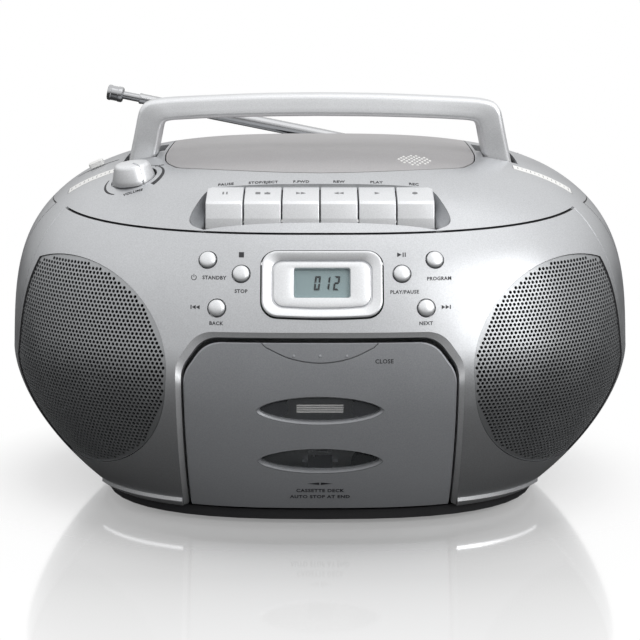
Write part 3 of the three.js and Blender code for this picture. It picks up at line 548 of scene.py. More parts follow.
def rounded(points, radius, steps=8):
    """A polygon with its corners rounded. Radius is one number or one per corner."""
    made = []
    n = len(points)
    radii = [radius] * n if isinstance(radius, (int, float)) else radius
    for i in range(n):
        a, b, c = (np.asarray(points[(i + k) % n], float) for k in (-1, 0, 1))
        r = radii[i]
        if r <= 0:
            made.append(tuple(b))
            continue
        u, v = (a - b) / np.linalg.norm(a - b), (c - b) / np.linalg.norm(c - b)
        half = math.acos(float(np.clip(u @ v, -1, 1))) / 2
        reach = min(r / math.tan(half), 0.48 * np.linalg.norm(a - b), 0.48 * np.linalg.norm(c - b))
        for k in range(steps + 1):
            t = k / steps
            made.append(tuple((1 - t) ** 2 * (b + u * reach) + 2 * t * (1 - t) * b
                              + t * t * (b + v * reach)))
    return made


def ellipse(cx, cy, rx, ry, count):
    turns = np.arange(count) / count * 2 * math.pi
    return [(cx + rx * math.cos(a), cy + ry * math.sin(a)) for a in turns]


def soft_rect(hw, hh, r, bow=0.0, corner=8, side=8, cy=0.0):
    """A rounded rectangle whose lower side bulges by bow."""
    made = []
    corners = [(hw - r, hh - r, 0), (-hw + r, hh - r, 1), (-hw + r, -hh + r, 2), (hw - r, -hh + r, 3)]
    for index, (x, y, quarter) in enumerate(corners):
        for k in range(corner + 1):
            a = (quarter + k / corner) * math.pi / 2
            made.append([x + r * math.cos(a), y + r * math.sin(a)])
        nx, ny, _ = corners[(index + 1) % 4]
        a = (quarter + 1) * math.pi / 2
        start = np.array([x + r * math.cos(a), y + r * math.sin(a)])
        end = np.array([nx + r * math.cos(a), ny + r * math.sin(a)])
        for k in range(1, side):
            made.append(list(start + (end - start) * k / side))
    for p in made:
        if p[1] < 0:
            p[1] -= bow * (1 - (p[0] / hw) ** 2) * min(1, -p[1] / (hh - r + 1e-6))
    return [(x, cy + y) for x, y in made]


def door_outline(grow, top=DOOR_TOP):
    w = DOOR_HALF + grow
    t = top + grow
    points = [(-w, DOOR_BOTTOM - 12), (w, DOOR_BOTTOM - 12), (w, t - 15), (w - 11, t), (-w + 11, t),
              (-w, t - 15)]
    return rounded(points, [0, 0, 15.0, 15.0, 15.0, 15.0], 10)


def lens(cz, hw, hh, steps=28):
    """A long eye shape with blunt ends."""
    made = []
    for side in (1, -1):
        for k in range(steps):
            t = -math.cos(k / steps * math.pi)
            made.append((-side * t * hw, cz + side * hh * (1 - t * t) ** 0.6))
    return made


def lid_outline(grow):
    w = LID_HALF + grow
    f = grow
    right = [(0, -55.7 - f), (24, -54.2 - f), (48, -49.8 - f), (w - 12, -42.5 - f),
             (w - 5.5, -36.5 - f), (w - 1.6, -28 - f * 0.6), (w, -14)]
    curve = spline(right, 8)
    left = [(-x, y) for x, y in curve[1:]][::-1]
    rear = rounded([(w, -14), (w, LID_REAR + f), (-w, LID_REAR + f), (-w, -14)], [0, 4, 4, 0], 6)
    return left + curve + rear[1:-1]


# ------------------------------------------------------------------ loft and tubes
def loft(sections, cap=True, flip=False):
    """Closed sections of equal count, joined in order."""
    n = len(sections[0])
    verts = [tuple(p) for ring in sections for p in ring]
    faces = []
    for j in range(len(sections) - 1):
        for i in range(n):
            k = (i + 1) % n
            faces.append((j * n + i, j * n + k, (j + 1) * n + k, (j + 1) * n + i))
    if cap:
        faces.append(tuple(range(n))[::-1])
        base = (len(sections) - 1) * n
        faces.append(tuple(range(base, base + n)))
    if flip:
        faces = [f[::-1] for f in faces]
    return verts, faces


def stacked(levels, at, along, cap=True):
    """Outlines at heights, as one lofted solid in a tilted frame. Levels are (outline, height)."""
    sections = [[(x, y, h) for x, y in outline] for outline, h in levels]
    verts, faces = loft(sections, cap)
    return make("stack", placed(verts, at, along), faces)


# ------------------------------------------------------------------ printed marks
def thin(polygons, place, low=-0.03, high=0.07):
    """Flat polygons raised a little from a surface, as one closed mesh each."""
    verts, faces = [], []
    for polygon in polygons:
        n = len(polygon)
        base = len(verts)
        for depth in (low, high):
            for u, v in polygon:
                verts.append((u, v, depth))
        faces.append(tuple(base + i for i in range(n))[::-1])
        faces.append(tuple(base + n + i for i in range(n)))
        for i in range(n):
            k = (i + 1) % n
            faces.append((base + i, base + k, base + n + k, base + n + i))
    return place(np.array(verts)), faces


def on_skin(find, x0, y0, squash=1.0, sink=0.0):
    """Wraps flat marks onto the skin, or onto a surface sunk below it."""
    def place(uvh):
        p = find(uvh[:, 0] + x0, uvh[:, 1] * squash + y0)
        return p + normal_at(p) * (uvh[:, 2:3] - sink)
    return place


def on_front(x0, z0):
    return on_skin(front_point, x0, z0, squash=0.93)


def on_door(x0, z0):
    return on_skin(front_point, x0, z0, squash=0.97, sink=0.6)


def on_top(x0, y0):
    return on_skin(top_point, x0, y0)


def on_plane(at, along, turn=0.0):
    matrix = np.array(turn_to(along).to_matrix())
    c, s = math.cos(turn), math.sin(turn)

    def place(uvh):
        flat = np.stack([uvh[:, 0] * c - uvh[:, 1] * s, uvh[:, 0] * s + uvh[:, 1] * c, uvh[:, 2]], -1)
        return flat @ matrix.T + np.asarray(at, float)
    return place


def letters(text, size, place, low=-0.03, high=0.07):
    """Text laid on a surface, with its thickness."""
    curve = bpy.data.curves.new("letters", "FONT")
    curve.body = text
    curve.size = size
    curve.extrude = 0.5
    curve.align_x = "CENTER"
    curve.align_y = "CENTER"
    curve.resolution_u = 3
    curve.space_character = 1.1
    curve.offset = 0.03 * size
    obj = link(bpy.data.objects.new("letters", curve))
    graph = bpy.context.evaluated_depsgraph_get()
    mesh = bpy.data.meshes.new_from_object(obj.evaluated_get(graph))
    bm = bmesh.new()
    bm.from_mesh(mesh)
    bmesh.ops.remove_doubles(bm, verts=bm.verts, dist=0.0005 * size)
    flat = np.array([tuple(v.co) for v in bm.verts])
    faces = [tuple(v.index for v in f.verts) for f in bm.faces]
    bm.free()
    bpy.data.objects.remove(obj)
    bpy.data.meshes.remove(mesh)
    flat[:, 2] = np.where(flat[:, 2] > 0, high, low)
    return place(flat), faces


def bar(x0, y0, x1, y1):
    return [(x0, y0), (x1, y0), (x1, y1), (x0, y1)]


def triangle(x, y, w, h, side=1):
    points = [(x, y - h / 2), (x + w, y), (x, y + h / 2)]
    if side < 0:
        points = [(x + w, y - h / 2), (x + w, y + h / 2), (x, y)]
    return points


def arc_band(r0, r1, start, end, steps=24):
    """An annular sector as quads; the outer radius may be a function of the share along it."""
    quads = []
    outer = r1 if callable(r1) else (lambda t: r1)
    for k in range(steps):
        t0, t1 = k / steps, (k + 1) / steps
        a, b = (start + (end - start) * t for t in (t0, t1))
        quads.append([(r0 * math.cos(a), r0 * math.sin(a)),
                      (outer(t0) * math.cos(a), outer(t0) * math.sin(a)),
                      (outer(t1) * math.cos(b), outer(t1) * math.sin(b)),
                      (r0 * math.cos(b), r0 * math.sin(b))])
    return [q if end > start else q[::-1] for q in quads]


ICONS = {
    "stop": [bar(-1, -1, 1, 1)],
    "back": [bar(-2.3, -0.9, -1.85, 0.9), triangle(-1.7, 0, 1.6, 1.8, -1), triangle(0, 0, 1.6, 1.8, -1)],
    "next": [triangle(-1.9, 0, 1.6, 1.8), triangle(-0.2, 0, 1.6, 1.8), bar(1.55, -0.9, 2.0, 0.9)],
    "play_pause": [triangle(-1.9, 0, 1.9, 1.9), bar(0.4, -0.9, 0.85, 0.9), bar(1.3, -0.9, 1.75, 0.9)],
    "power": [*arc_band(0.95, 1.25, math.radians(125), math.radians(415), 18), bar(-0.15, 0.1, 0.15, 1.5)],
    "pause": [bar(-0.9, -1, -0.35, 1), bar(0.35, -1, 0.9, 1)],
    "stop_eject": [bar(-2.6, -0.9, -0.9, 0.9), bar(0.5, -0.9, 2.5, -0.45), triangle(0.5, 0.35, 2.0, 0.1),
                   [(0.5, -0.15), (2.5, -0.15), (1.5, 0.9)]],
    "forward": [triangle(-1.7, 0, 1.6, 1.8), triangle(0, 0, 1.6, 1.8)],
    "rewind": [triangle(-1.7, 0, 1.6, 1.8, -1), triangle(0, 0, 1.6, 1.8, -1)],
    "play": [triangle(-0.8, 0, 1.7, 1.9)],
    "record": [ellipse(0, 0, 0.95, 0.95, 18)],
}


def icon(name, size, place, low=-0.03, high=0.07):
    polygons = [[(x * size, y * size) for x, y in points] for points in ICONS[name]]
    return thin(polygons, place, low, high)


def printed(name, parts, body="case", ink=INK):
    verts, faces = join_data(parts)
    obj = make(name, verts, faces, smooth=False)
    piece(obj, name, body, ink)


# ------------------------------------------------------------------ case panels
OUTER = body_object(0.0, CASE_BOTTOM, 320, 54, 60)
CORE = body_object(WALL, CASE_BOTTOM - 5, 128, 20, 28)
SHELL = cut(copy_of(OUTER), CORE)


def grille_cylinder(grow, side, rear=GRILLE_REAR_Y):
    outline = ellipse(-GRILLE_CENTRE[0], GRILLE_CENTRE[1], GRILLE_RADII[0] + grow,
                      GRILLE_RADII[1] + grow, 144)
    obj = prism("y", outline, -200, 60)
    obj.data.transform(Matrix.Rotation(-GRILLE_TURN, 4, "Z"))
    cut(obj, block((-220, 10), (-220, rear), (0, 150)), "INTERSECT")
    if side > 0:
        mirror(obj)
    return obj


def mirror(obj):
    obj.data.transform(Matrix.Diagonal((-1, 1, 1, 1)))
    obj.data.flip_normals()
    return obj


DISPLAY_NORMAL = normal_at(front_point(0, DISPLAY_Z))[0]
DISPLAY_AT = front_point(0, DISPLAY_Z)[0] + (1.0, 0, 0.4)
BUTTONS = [
    ("standby_button", -54.7, 140.1),
    ("stop_button", -38.3, 134.1),
    ("skip_back_button", -50.0, 118.4),
    ("play_button", 39.8, 134.1),
    ("program_button", 56.0, 140.1),
    ("skip_next_button", 51.5, 118.4),
]
SEAM_GAP = 0.45


def front_panel():
    seam = [(y - SEAM_GAP, z) for y, z in SEAM]
    top = groove_z(SEAM[4][0]) - SEAM_GAP
    region_outline = [(-140, CASE_BOTTOM - 1), *spline(seam, 6),
                      (SEAM[4][0] - SEAM_GAP, top), (-140, groove_z(-140) - SEAM_GAP)]
    region = prism("x", region_outline, -180, 180)
    made = cut(copy_of(SHELL), region, "INTERSECT", keep=True)
    frame_wall = prism("y", door_outline(DOOR_GAP + DOOR_TRIM + 2), -140, -94)
    cut(frame_wall, copy_of(OUTER), "INTERSECT")
    cut(frame_wall, region, "INTERSECT")
    cut(made, frame_wall, "UNION")
    for side in (-1, 1):
        cut(made, grille_cylinder(0, side))
    cut(made, prism("y", door_outline(DOOR_GAP + DOOR_TRIM), -160, -60))
    hole = soft_rect(30.0, 16.9, 7.9, 1.2)
    cut(made, stacked([(hole, -12), (hole, 12)], DISPLAY_AT, DISPLAY_NORMAL))
    for _, x, z in BUTTONS:
        cut(made, rod_cutter(BUTTON_RADIUS + 0.3, -12, 12, *spot(front_point, x, z)))
    panel_piece(made, "cabinet_front", "front_cabinet")


def finer(outline, counts):
    """An open outline with each side cut into its count of equal steps."""
    made = []
    for (a, b), count in zip(zip(outline, outline[1:]), counts):
        for k in range(count):
            made.append(tuple(np.asarray(a) + (np.asarray(b) - np.asarray(a)) * k / count))
    return made + [outline[-1]]


def sloped_rim(outer, inner, outer_depth, inner_depth, back, closed=True):
    """A band along an opening in the front skin, its face sloping from one outline to the other."""
    sections = []
    for outline, depth in ((outer, outer_depth), (inner, inner_depth), (inner, back), (outer, back)):
        flat = np.array(outline)
        skin = front_point(flat[:, 0], flat[:, 1])
        sections.append(skin - normal_at(skin) * depth)
    rings = [[tuple(section[i]) for section in sections] for i in range(len(outer))]
    if closed:
        verts, faces = loft([*rings, rings[0]], cap=False)
    else:
        verts, faces = loft(rings)
    obj = make("rim", verts, faces)
    if closed:
        drop_slivers(obj)
    return outward(obj)


def door_band(outer_grow, inner_grow, low, top, outer_depth, inner_depth, back):
    """A sloping band along the sides and top of the cassette opening."""
    def path(grow):
        points = door_outline(grow, top=top)[2:]
        return [(points[0][0], low), *points, (points[-1][0], low)]

    inner = path(inner_grow)
    counts = [max(1, round(math.dist(a, b) / 2.5)) for a, b in zip(inner, inner[1:])]
    return sharpen(sloped_rim(finer(path(outer_grow), counts), finer(inner, counts), outer_depth,
                              inner_depth, back, closed=False), 30)


def door_trim():
    """The chamfered frame around the cassette opening. Its slope is real; its brighter plastic, lighter
    than the cabinet's silver, is a painted highlight for the light the chamfer catches.
    """
    outer = DOOR_GAP + DOOR_TRIM - 0.02
    frame_band = door_band(outer, DOOR_GAP, CASE_BOTTOM + 0.4, DOOR_TOP, 0.05, 1.7, 6.0)
    # Painted highlight: the trim takes the brighter plastic to show the light its chamfer catches.
    piece(frame_band, "door_trim", "case", BRIGHT)


def foot_lips():
    """A narrow ledge with a sloping top along the foot of the front."""
    plan_x, plan_y = plan_ring(360)
    for side, name in ((-1, "foot_lip_left"), (1, "foot_lip_right")):
        sections = []
        for z, grow in ((CASE_BOTTOM, 0.6), (9.4, 1.3), (12.2, 1.9), (14.6, -0.5)):
            scale = float(slice_scale(z))
            reach = np.where(plan_y < 0, FRONT_REACH, REAR_REACH) * scale + grow
            x = plan_x * (HALF_WIDTH * scale + grow)
            sections.append([(a, b, z) for a, b in zip(x, plan_y * reach + SHIFT)])
        lip = make("lip", *loft(sections))
        x = (70.6, 180) if side > 0 else (-180, -70.6)
        cut(lip, block(x, (-140, -54), (0, 20)), "INTERSECT")
        cut(lip, body_object(0.15))
        piece(sharpen(lip, 30), name, "case", BRIGHT)


def mast_line(x):
    rise = (MAST_TIP[2] - MAST_PIVOT[2]) / (MAST_PIVOT[0] - MAST_TIP[0])
    return MAST_PIVOT[2] + (MAST_PIVOT[0] - x) * rise


def mast_notch(grow):
    """The recess at the rear of the top that the folded antenna lies in."""
    drop = 7 + grow
    outline = rounded([(-160, 260), (-160, mast_line(-160) - drop), (106 + grow, mast_line(106) - drop),
                       (106 + grow, 260)], [0, 0, 3, 0], 6)
    return prism("y", outline, 93.5 - grow, 160)


POCKET_RIGHT = [(57.4, -88.6), (62.6, -86.2), (64.6, -83.6), (63.6, -79.8), (60.8, -74.6),
                (57.6, -69.4), (53.6, -66.0)]


def key_pocket(shrink=0.0):
    """The outline, in plan, of the opening that the six keys stand in."""
    right = [(x - shrink, y + (shrink if y < -80 else -shrink)) for x, y in POCKET_RIGHT]
    curve = spline(right, 5)
    return curve + [(-x, y) for x, y in curve[::-1]]


KNOB_AT = top_point(*KNOB_XY)[0]
KNOB_AXIS = (-0.12, -0.1, 0.9877)
KNOB_SEAT = 12.2
SLIDER_SPOT = spot(top_point, -121, 4)
TUNER_SPOT = spot(top_point, 117, 76)


def moved(obj, at, along):
    """Stands an object along a direction at a place."""
    turn = turn_to(along).to_matrix().to_4x4()
    obj.data.transform(Matrix.Translation(Vector(at) * MM) @ turn)
    return obj


def boxed(x, y, z, at, along):
    return moved(block(x, y, z), at, along)


def walled():
    """The hollow shell with walls around the antenna recess, and the tuning wheel's slot."""
    made = copy_of(OUTER)
    cut(made, mast_notch(2.4), "INTERSECT")
    whole = cut(copy_of(SHELL), made, "UNION")
    cut(whole, mast_notch(0))
    return cut(whole, boxed((-15.4, 15.4), (-4.6, 4.6), (-9, 9), *TUNER_SPOT))


def strip_block(side, grow):
    """A block where a white strip sits in the top, in a recess on the shoulder; the strip's white is a
    painted highlight for that recessed ledge.
    """
    x = (102 - grow, 133 + grow) if side > 0 else (-133 - grow, -102 + grow)
    return block(x, (-27 - grow, -20 + grow), (150, 190))


def top_panel(whole):
    seam = [(y + SEAM_GAP, z) for y, z in SEAM]
    outline = [(-140, groove_z(-140) + SEAM_GAP),
               (SEAM[4][0] + SEAM_GAP, groove_z(SEAM[4][0]) + SEAM_GAP), *spline(seam, 6)[::-1],
               (-28, 8), (-28, 158), (160, 158), (160, 240), (-140, 240)]
    made = cut(copy_of(whole), prism("x", outline, -200, 200), "INTERSECT")
    cut(made, prism("z", key_pocket(), 130, 200))
    cut(made, prism("z", lid_outline(0.6), 150, 200))
    for side in (-1, 1):
        x = (-105.6, -87.0) if side < 0 else (87.0, 105.6)
        cut(made, block(x, (-14, 30), (150, 200)))
        rear = [(side * 84.2, 3), (side * 105.6, 3), (side * 105.6, 30), (side * 84.2, 30)]
        cut(made, prism("z", rear, 150, 200))
        strip = strip_block(side, 0.3)
        cut(strip, body_object(1.0, 120, 192, 4, 60))
        cut(made, strip)
    boss = rod_cutter(KNOB_SEAT + 1.8, -6.8, 7, KNOB_AT, KNOB_AXIS)
    cut(boss, copy_of(OUTER), "INTERSECT")
    cut(made, boss, "UNION")
    cut(made, rod_cutter(KNOB_SEAT, -2.8, 20, KNOB_AT, KNOB_AXIS, 96))
    cut(made, rod_cutter(3.4, -20, 20, KNOB_AT, KNOB_AXIS))
    cut(made, boxed((-12, 12), (-1.5, 1.5), (-9, 9), *SLIDER_SPOT))
    panel_piece(made, "cabinet_top", "top_cover")


BAY_X, BAY_Y, BAY_Z = 74, (46, 130), (42.8, 84)
INLET = (100, 58, 10, 6)
SCREWS = [cast([(x, 10.0, z)], (0, 1, 0), 160)[0]
          for x, z in ((-104, 128), (104, 128), (-122, 44), (122, 44), (-60, 24), (60, 24), (0, 146))]


def rear_panel(whole):
    tray = block((-BAY_X - 2, BAY_X + 2), (BAY_Y[0] - 2, BAY_Y[1]), (BAY_Z[0] - 2, BAY_Z[1] + 2))
    cut(tray, copy_of(OUTER), "INTERSECT")
    made = cut(copy_of(whole), tray, "UNION")
    cut(made, block((-BAY_X, BAY_X), (BAY_Y[0], BAY_Y[1] + 10), BAY_Z))
    x, z, hw, hh = INLET
    cut(made, block((x - hw - 0.4, x + hw + 0.4), (40, 160), (z - hh - 0.4, z + hh + 0.4)))
    cut(made, block((-200, 200), (-27.5, 160), (CASE_BOTTOM - 1, 157.5)), "INTERSECT")
    for row in range(7):
        for side in (-1, 1):
            z0 = 98 + row * 5.2
            ends = sorted((side * 14, side * 62))
            cut(made, prism("y", rounded([(ends[0], z0), (ends[1], z0), (ends[1], z0 + 1.8),
                                          (ends[0], z0 + 1.8)], 0.88, 5), 60, 140))
    for at in SCREWS:
        cut(made, rod_cutter(4.2, -2.0, 6, at, (0, 1, 0), 32))
    panel_piece(made, "cabinet_rear", "rear_cover")


def screws():
    profile = [(0, -2.0), (3.1, -2.0), (3.1, -1.2), (2.5, -0.5), (1.4, -0.2), (0, -0.15)]
    heads = studs("heads", profile, 28, [(at, (0, 1, 0)) for at in SCREWS])
    for sx, sy, sz in SCREWS:
        for arm in ((1.7, 0.35), (0.35, 1.7)):
            cut(heads, block((sx - arm[0], sx + arm[0]), (sy - 1.1, sy + 3), (sz - arm[1], sz + arm[1])))
    piece(sharpen(heads), "rear_screws", "case", STEEL)


def drop_loose(bm):
    loose = [v for v in bm.verts if not v.link_faces]
    bmesh.ops.delete(bm, geom=loose, context="VERTS")


def grille_cells(pitch=2.2, radius=0.8):
    """A flat sheet of six-sided cells, each a ring of quads round a hole or, by the edge, whole."""
    rise = pitch * math.sqrt(3) / 2
    cu, cz = GRILLE_CENTRE
    ru, rz = GRILLE_RADII
    keys, points, faces = {}, [], []

    def index(u, z):
        key = (round(u * 500), round(z * 500))
        if key not in keys:
            keys[key] = len(points)
            points.append((u, z))
        return keys[key]

    rows = int(rz / rise) + 2
    columns = int(ru / pitch) + 3
    angles = np.arange(12) * math.pi / 6
    reach = np.where(np.arange(12) % 2 == 1, pitch / math.sqrt(3), pitch / 2)
    for row in range(-rows, rows + 1):
        for column in range(-columns, columns + 1):
            u = cu + (column + (row % 2) / 2) * pitch
            z = cz + row * rise
            open_share = ((u - cu) / (ru - 1.5)) ** 2 + ((z - cz) / (rz - 1.5)) ** 2
            whole_share = ((u - cu) / (ru + 2.6)) ** 2 + ((z - cz) / (rz + 2.6)) ** 2
            if whole_share > 1:
                continue
            ring = [index(u + r * math.cos(a), z + r * math.sin(a)) for a, r in zip(angles, reach)]
            if open_share > 1:
                faces.append(tuple(ring))
                continue
            hole = []
            for a in angles:
                hole.append(len(points))
                points.append((u + radius * math.cos(a), z + radius * math.sin(a)))
            for k in range(12):
                n = (k + 1) % 12
                faces.append((ring[k], ring[n], hole[n], hole[k]))
    return np.array(points), faces


def grille(side):
    """The sheet of cells laid just below the skin and given a thickness."""
    flat, faces = grille_cells()
    c, s = math.cos(GRILLE_TURN), math.sin(GRILLE_TURN)
    start = np.stack([-flat[:, 0] * c, flat[:, 0] * s, flat[:, 1]], -1)
    skin = cast(start, (-s, -c, 0), 190)
    valid = np.linalg.norm(skin - start, axis=1) > 5
    valid &= skin[:, 1] < -40
    normal = normal_at(skin)
    front = skin - normal * 0.7
    back = skin - normal * 1.7
    faces = [f for f in faces if all(valid[i] for i in f)]
    n = len(front)
    edges = {}
    for f in faces:
        for i in range(len(f)):
            edges[(f[i], f[(i + 1) % len(f)])] = True
    walls = [(b, a, a + n, b + n) for a, b in edges if (b, a) not in edges]
    allf = [f[::-1] for f in faces] + [tuple(i + n for i in f) for f in faces]
    allf += [w[::-1] for w in walls]
    obj = make("grille", np.concatenate([front, back]), allf)
    edit(obj, drop_loose)
    outward(obj)
    cut(obj, grille_cylinder(-0.4, -1, GRILLE_REAR_Y - 0.4), "INTERSECT")
    if side > 0:
        mirror(obj)
    skin_normals(obj, 0.7)
    name = "grille_left" if side < 0 else "grille_right"
    node = "left_grille" if side < 0 else "right_grille"
    piece(obj, name, "case", GRILLE, [node])


# ------------------------------------------------------------------ display and buttons
def display():
    """The frame, a ring of rounded levels (half width, half height, corner, height), and its glass."""
    bow = 1.2
    rim = [(29.0, 15.4, 7.0, -5.0), (29.3, 16.2, 7.3, -1.2), (29.3, 16.2, 7.3, -0.1),
           (29.1, 16.0, 7.2, 0.25), (28.6, 15.5, 6.9, 0.5), (27.9, 14.8, 6.5, 0.42),
           (24.6, 11.9, 5.4, -0.9), (24.3, 11.6, 5.2, -2.6), (23.7, 11.0, 4.8, -2.6),
           (23.4, 10.7, 4.6, -1.0)]
    opening = [(14.3, 7.9, 1.4, -0.65), (13.9, 7.5, 1.2, -0.8), (13.5, 7.2, 1.0, -1.4),
               (13.5, 7.2, 1.0, -5.0)]
    levels = [(soft_rect(hw, hh, r, bow), h) for hw, hh, r, h in rim]
    levels.append((soft_rect(22.6, 9.9, 4.2, bow * 0.9), -0.75))
    levels += [(soft_rect(hw, hh, r, cy=LCD_RISE), h) for hw, hh, r, h in opening]
    bezel = stacked([*levels, levels[0]], DISPLAY_AT, DISPLAY_NORMAL, cap=False)
    drop_slivers(bezel)
    piece(sharpen(bezel, 28), "display_frame", "case", BRIGHT, ["display_bezel"])
    outline = soft_rect(13.1, 6.8, 0.8, cy=LCD_RISE)
    eased = soft_rect(12.8, 6.5, 0.6, cy=LCD_RISE)
    pane = stacked([(outline, -2.6), (outline, -1.7), (eased, -1.5)], DISPLAY_AT, DISPLAY_NORMAL)
    piece(sharpen(pane, 25), "display_pane", "case", CLEAR, ["display_window"])
    outline = soft_rect(16, 9, 0.5, cy=LCD_RISE)
    panel = stacked([(outline, -6.2), (outline, -3.2)], DISPLAY_AT, DISPLAY_NORMAL)
    piece(sharpen(panel, 25), "display_glass", "case", LCD, ["lcd_panel"])
    digits()


def digits():
    """Three seven-segment numerals that read 012."""
    w, h, t, lean = 3.9, 4.4, 1.1, 0.09
    spots = {
        "a": [(-w / 2 + 0.3, h), (w / 2 - 0.3, h), (w / 2 - 0.3 - t, h - t), (-w / 2 + 0.3 + t, h - t)],
        "d": [(-w / 2 + 0.3, -h), (-w / 2 + 0.3 + t, -h + t), (w / 2 - 0.3 - t, -h + t), (w / 2 - 0.3, -h)],
        "g": [(-w / 2 + 0.6, 0), (-w / 2 + 0.9, t / 2), (w / 2 - 0.9, t / 2), (w / 2 - 0.6, 0),
              (w / 2 - 0.9, -t / 2), (-w / 2 + 0.9, -t / 2)],
    }
    edge = w / 2 - 0.2
    side = [(edge, h - 0.2), (edge, 0.25), (edge - t, 0.6), (edge - t, h - 0.6 - t / 2)]
    spots["b"] = side
    spots["c"] = [(x, -y) for x, y in side]
    spots["f"] = [(-x, y) for x, y in side]
    spots["e"] = [(-x, -y) for x, y in side]
    shown = {"0": "abcdef", "1": "bc", "2": "abged"}
    place = on_plane(DISPLAY_AT, DISPLAY_NORMAL)
    polygons = []
    for x0, digit in ((-2.3, "0"), (2.4, "1"), (7.1, "2")):
        for segment in shown[digit]:
            points = [(0.8 * x + lean * y + x0, 0.8 * y + 0.75) for x, y in spots[segment]]
            area = sum(a[0] * b[1] - b[0] * a[1] for a, b in zip(points, points[1:] + points[:1]))
            polygons.append(points if area > 0 else points[::-1])
    printed("display_digits", [thin(polygons, place, -3.3, -2.9)], ink=DIGIT)


def buttons():
    for name, x, z in BUTTONS:
        r = BUTTON_RADIUS - 0.35
        dome = [(r * math.sin(a), 0.75 + 1.45 * math.cos(a)) for a in np.linspace(math.pi / 2, 0.0, 14)]
        profile = [(0, -6), (r + 1.9, -6), (r + 1.9, -5), (r, -5), (r, 0.5), *dome[1:-1], (0, 2.2)]
        obj = lathe(name, profile, 56, *spot(front_point, x, z), 40)
        piece(obj, name + "_cap", name + "_body", BRIGHT, [name])


# ------------------------------------------------------------------ cassette door
def door():
    made = prism("y", door_outline(-DOOR_EDGE, top=DOOR_TOP - 1), -160, -60)
    cut(made, body_object(0.6, 0, 320, 72, 50), "INTERSECT")
    cut(made, body_object(3.4, -6, 160, 40, 24))
    cut(made, block((-100, 100), (-160, -60), (DOOR_BOTTOM, 120)), "INTERSECT")
    for z in WINDOW_Z:
        cut(made, prism("y", lens(z, WINDOW_HALF + 1.6, WINDOW_RISE + 0.95), -140, -60))
    arc = [(30.4, 106), (30.4, 103.9), *spline([(26, 100.0), (14, 94.9), (0, 92.9), (-14, 94.9),
                                                (-26, 100.0)], 8), (-30.4, 103.9), (-30.4, 106)]
    groove = prism("y", arc, -160, -60)
    cut(groove, body_object(2.2, -6, 192, 60, 40))
    cut(groove, prism("y", [(x, z + 0.6) for x, z in arc], -170, -50))
    cut(made, groove, keep=True)
    edge = door_band(0, -DOOR_EDGE, DOOR_BOTTOM, DOOR_TOP - 1, 1.5, 0.6, 3.3)
    piece(sharpen(cut(edge, groove), 30), "door_edge", "cassette_door_body", DOOR)
    drop_slivers(made)
    skin_normals(made, 0.6, tilt=0.5)
    piece(made, "door_panel", "cassette_door_body", DOOR, ["cassette_door"])


def door_windows():
    for name, z in (("upper_door_window", WINDOW_Z[0]), ("lower_door_window", WINDOW_Z[1])):
        pane = prism("y", lens(z, WINDOW_HALF - 0.35, WINDOW_RISE - 0.2), -140, -60)
        cut(pane, body_object(1.2, -6, 240, 60, 30), "INTERSECT")
        cut(pane, body_object(2.8, -6, 160, 40, 24))
        skin_normals(pane, 1.2)
        piece(pane, name + "_pane", "cassette_door_body", SMOKE, [name])
        outer = lens(z, WINDOW_HALF + 1.58, WINDOW_RISE + 0.93)
        rim = sloped_rim(outer, lens(z, WINDOW_HALF, WINDOW_RISE), 0.62, 1.6, 3.2)
        piece(sharpen(rim, 30), name + "_rim", "cassette_door_body", DOOR)


def behind_windows():
    """Flat marks behind the panes: two black ovals at the hub places and a black head shape, painted shade
    for the dark seen through the openings there, and the tape's lines.
    """
    behind = on_skin(front_point, 0, 0, sink=3.4)
    top_z, low_z = WINDOW_Z
    painted_shade_marks = [ellipse(side * 22.5, top_z, 7.2, 5.6, 32)[::-1] for side in (-1, 1)]
    head = [(-6, -8), (-6, 1.4), (-3.6, 1.4), (-3.6, 0.2), (-2.6, 0.2), (-2.6, 1.4), (6, 1.4), (6, -8)]
    painted_shade_marks.append([(x, low_z + z) for x, z in head[::-1]])
    lines = [bar(-11.4, top_z - 2.4 + k * 1.2, 11.4, top_z - 1.6 + k * 1.2) for k in range(4)]
    # Painted shade: the black ovals and head shape stand in for the dark seen through the openings behind
    # the panes.
    printed("window_openings_painted_shade", [thin(painted_shade_marks, behind, 0.0, 0.15)], "cassette_door_body")
    printed("window_lines", [thin(lines, behind, 0.0, 0.15)], "cassette_door_body", WHITE)


def door_bumps():
    profile = [(0, -2.2), (0.9, -2.2), (0.9, -0.7), (0.6, -0.35), (0, -0.2)]
    obj = studs("bumps", profile, 20, [spot(front_point, x, 96.6) for x in (-12.7, 0.0, 13.0)])
    piece(obj, "door_tab_bumps", "cassette_door_body", DOOR)


# ------------------------------------------------------------------ piano keys
KEYS = [("pause_key", "pause"), ("stop_eject_key", "stop_eject"), ("fast_forward_key", "forward"),
        ("rewind_key", "rewind"), ("play_key", "play"), ("record_key", "record")]
KEY_SIDE = [(-88.1, 153.2), (-87.2, 158.6), (-85.4, 165.6), (-84.0, 166.95), (-66.7, 171.4),
            (-65, 168.9), (-63, 165.6), (-53.8, 162.6), (-53.8, 157.4), (-72, 155.4), (-86.4, 153.2)]


def soften_ends(bm):
    """Rounds the edges around both ends of a key."""
    edges = [e for e in bm.edges if abs(e.verts[0].co.x - e.verts[1].co.x) < 1e-7]
    bmesh.ops.bevel(bm, geom=edges, offset=0.55 * MM, segments=4, affect="EDGES", profile=0.5)
    bmesh.ops.recalc_face_normals(bm, faces=bm.faces)
    for f in bm.faces:
        f.smooth = True


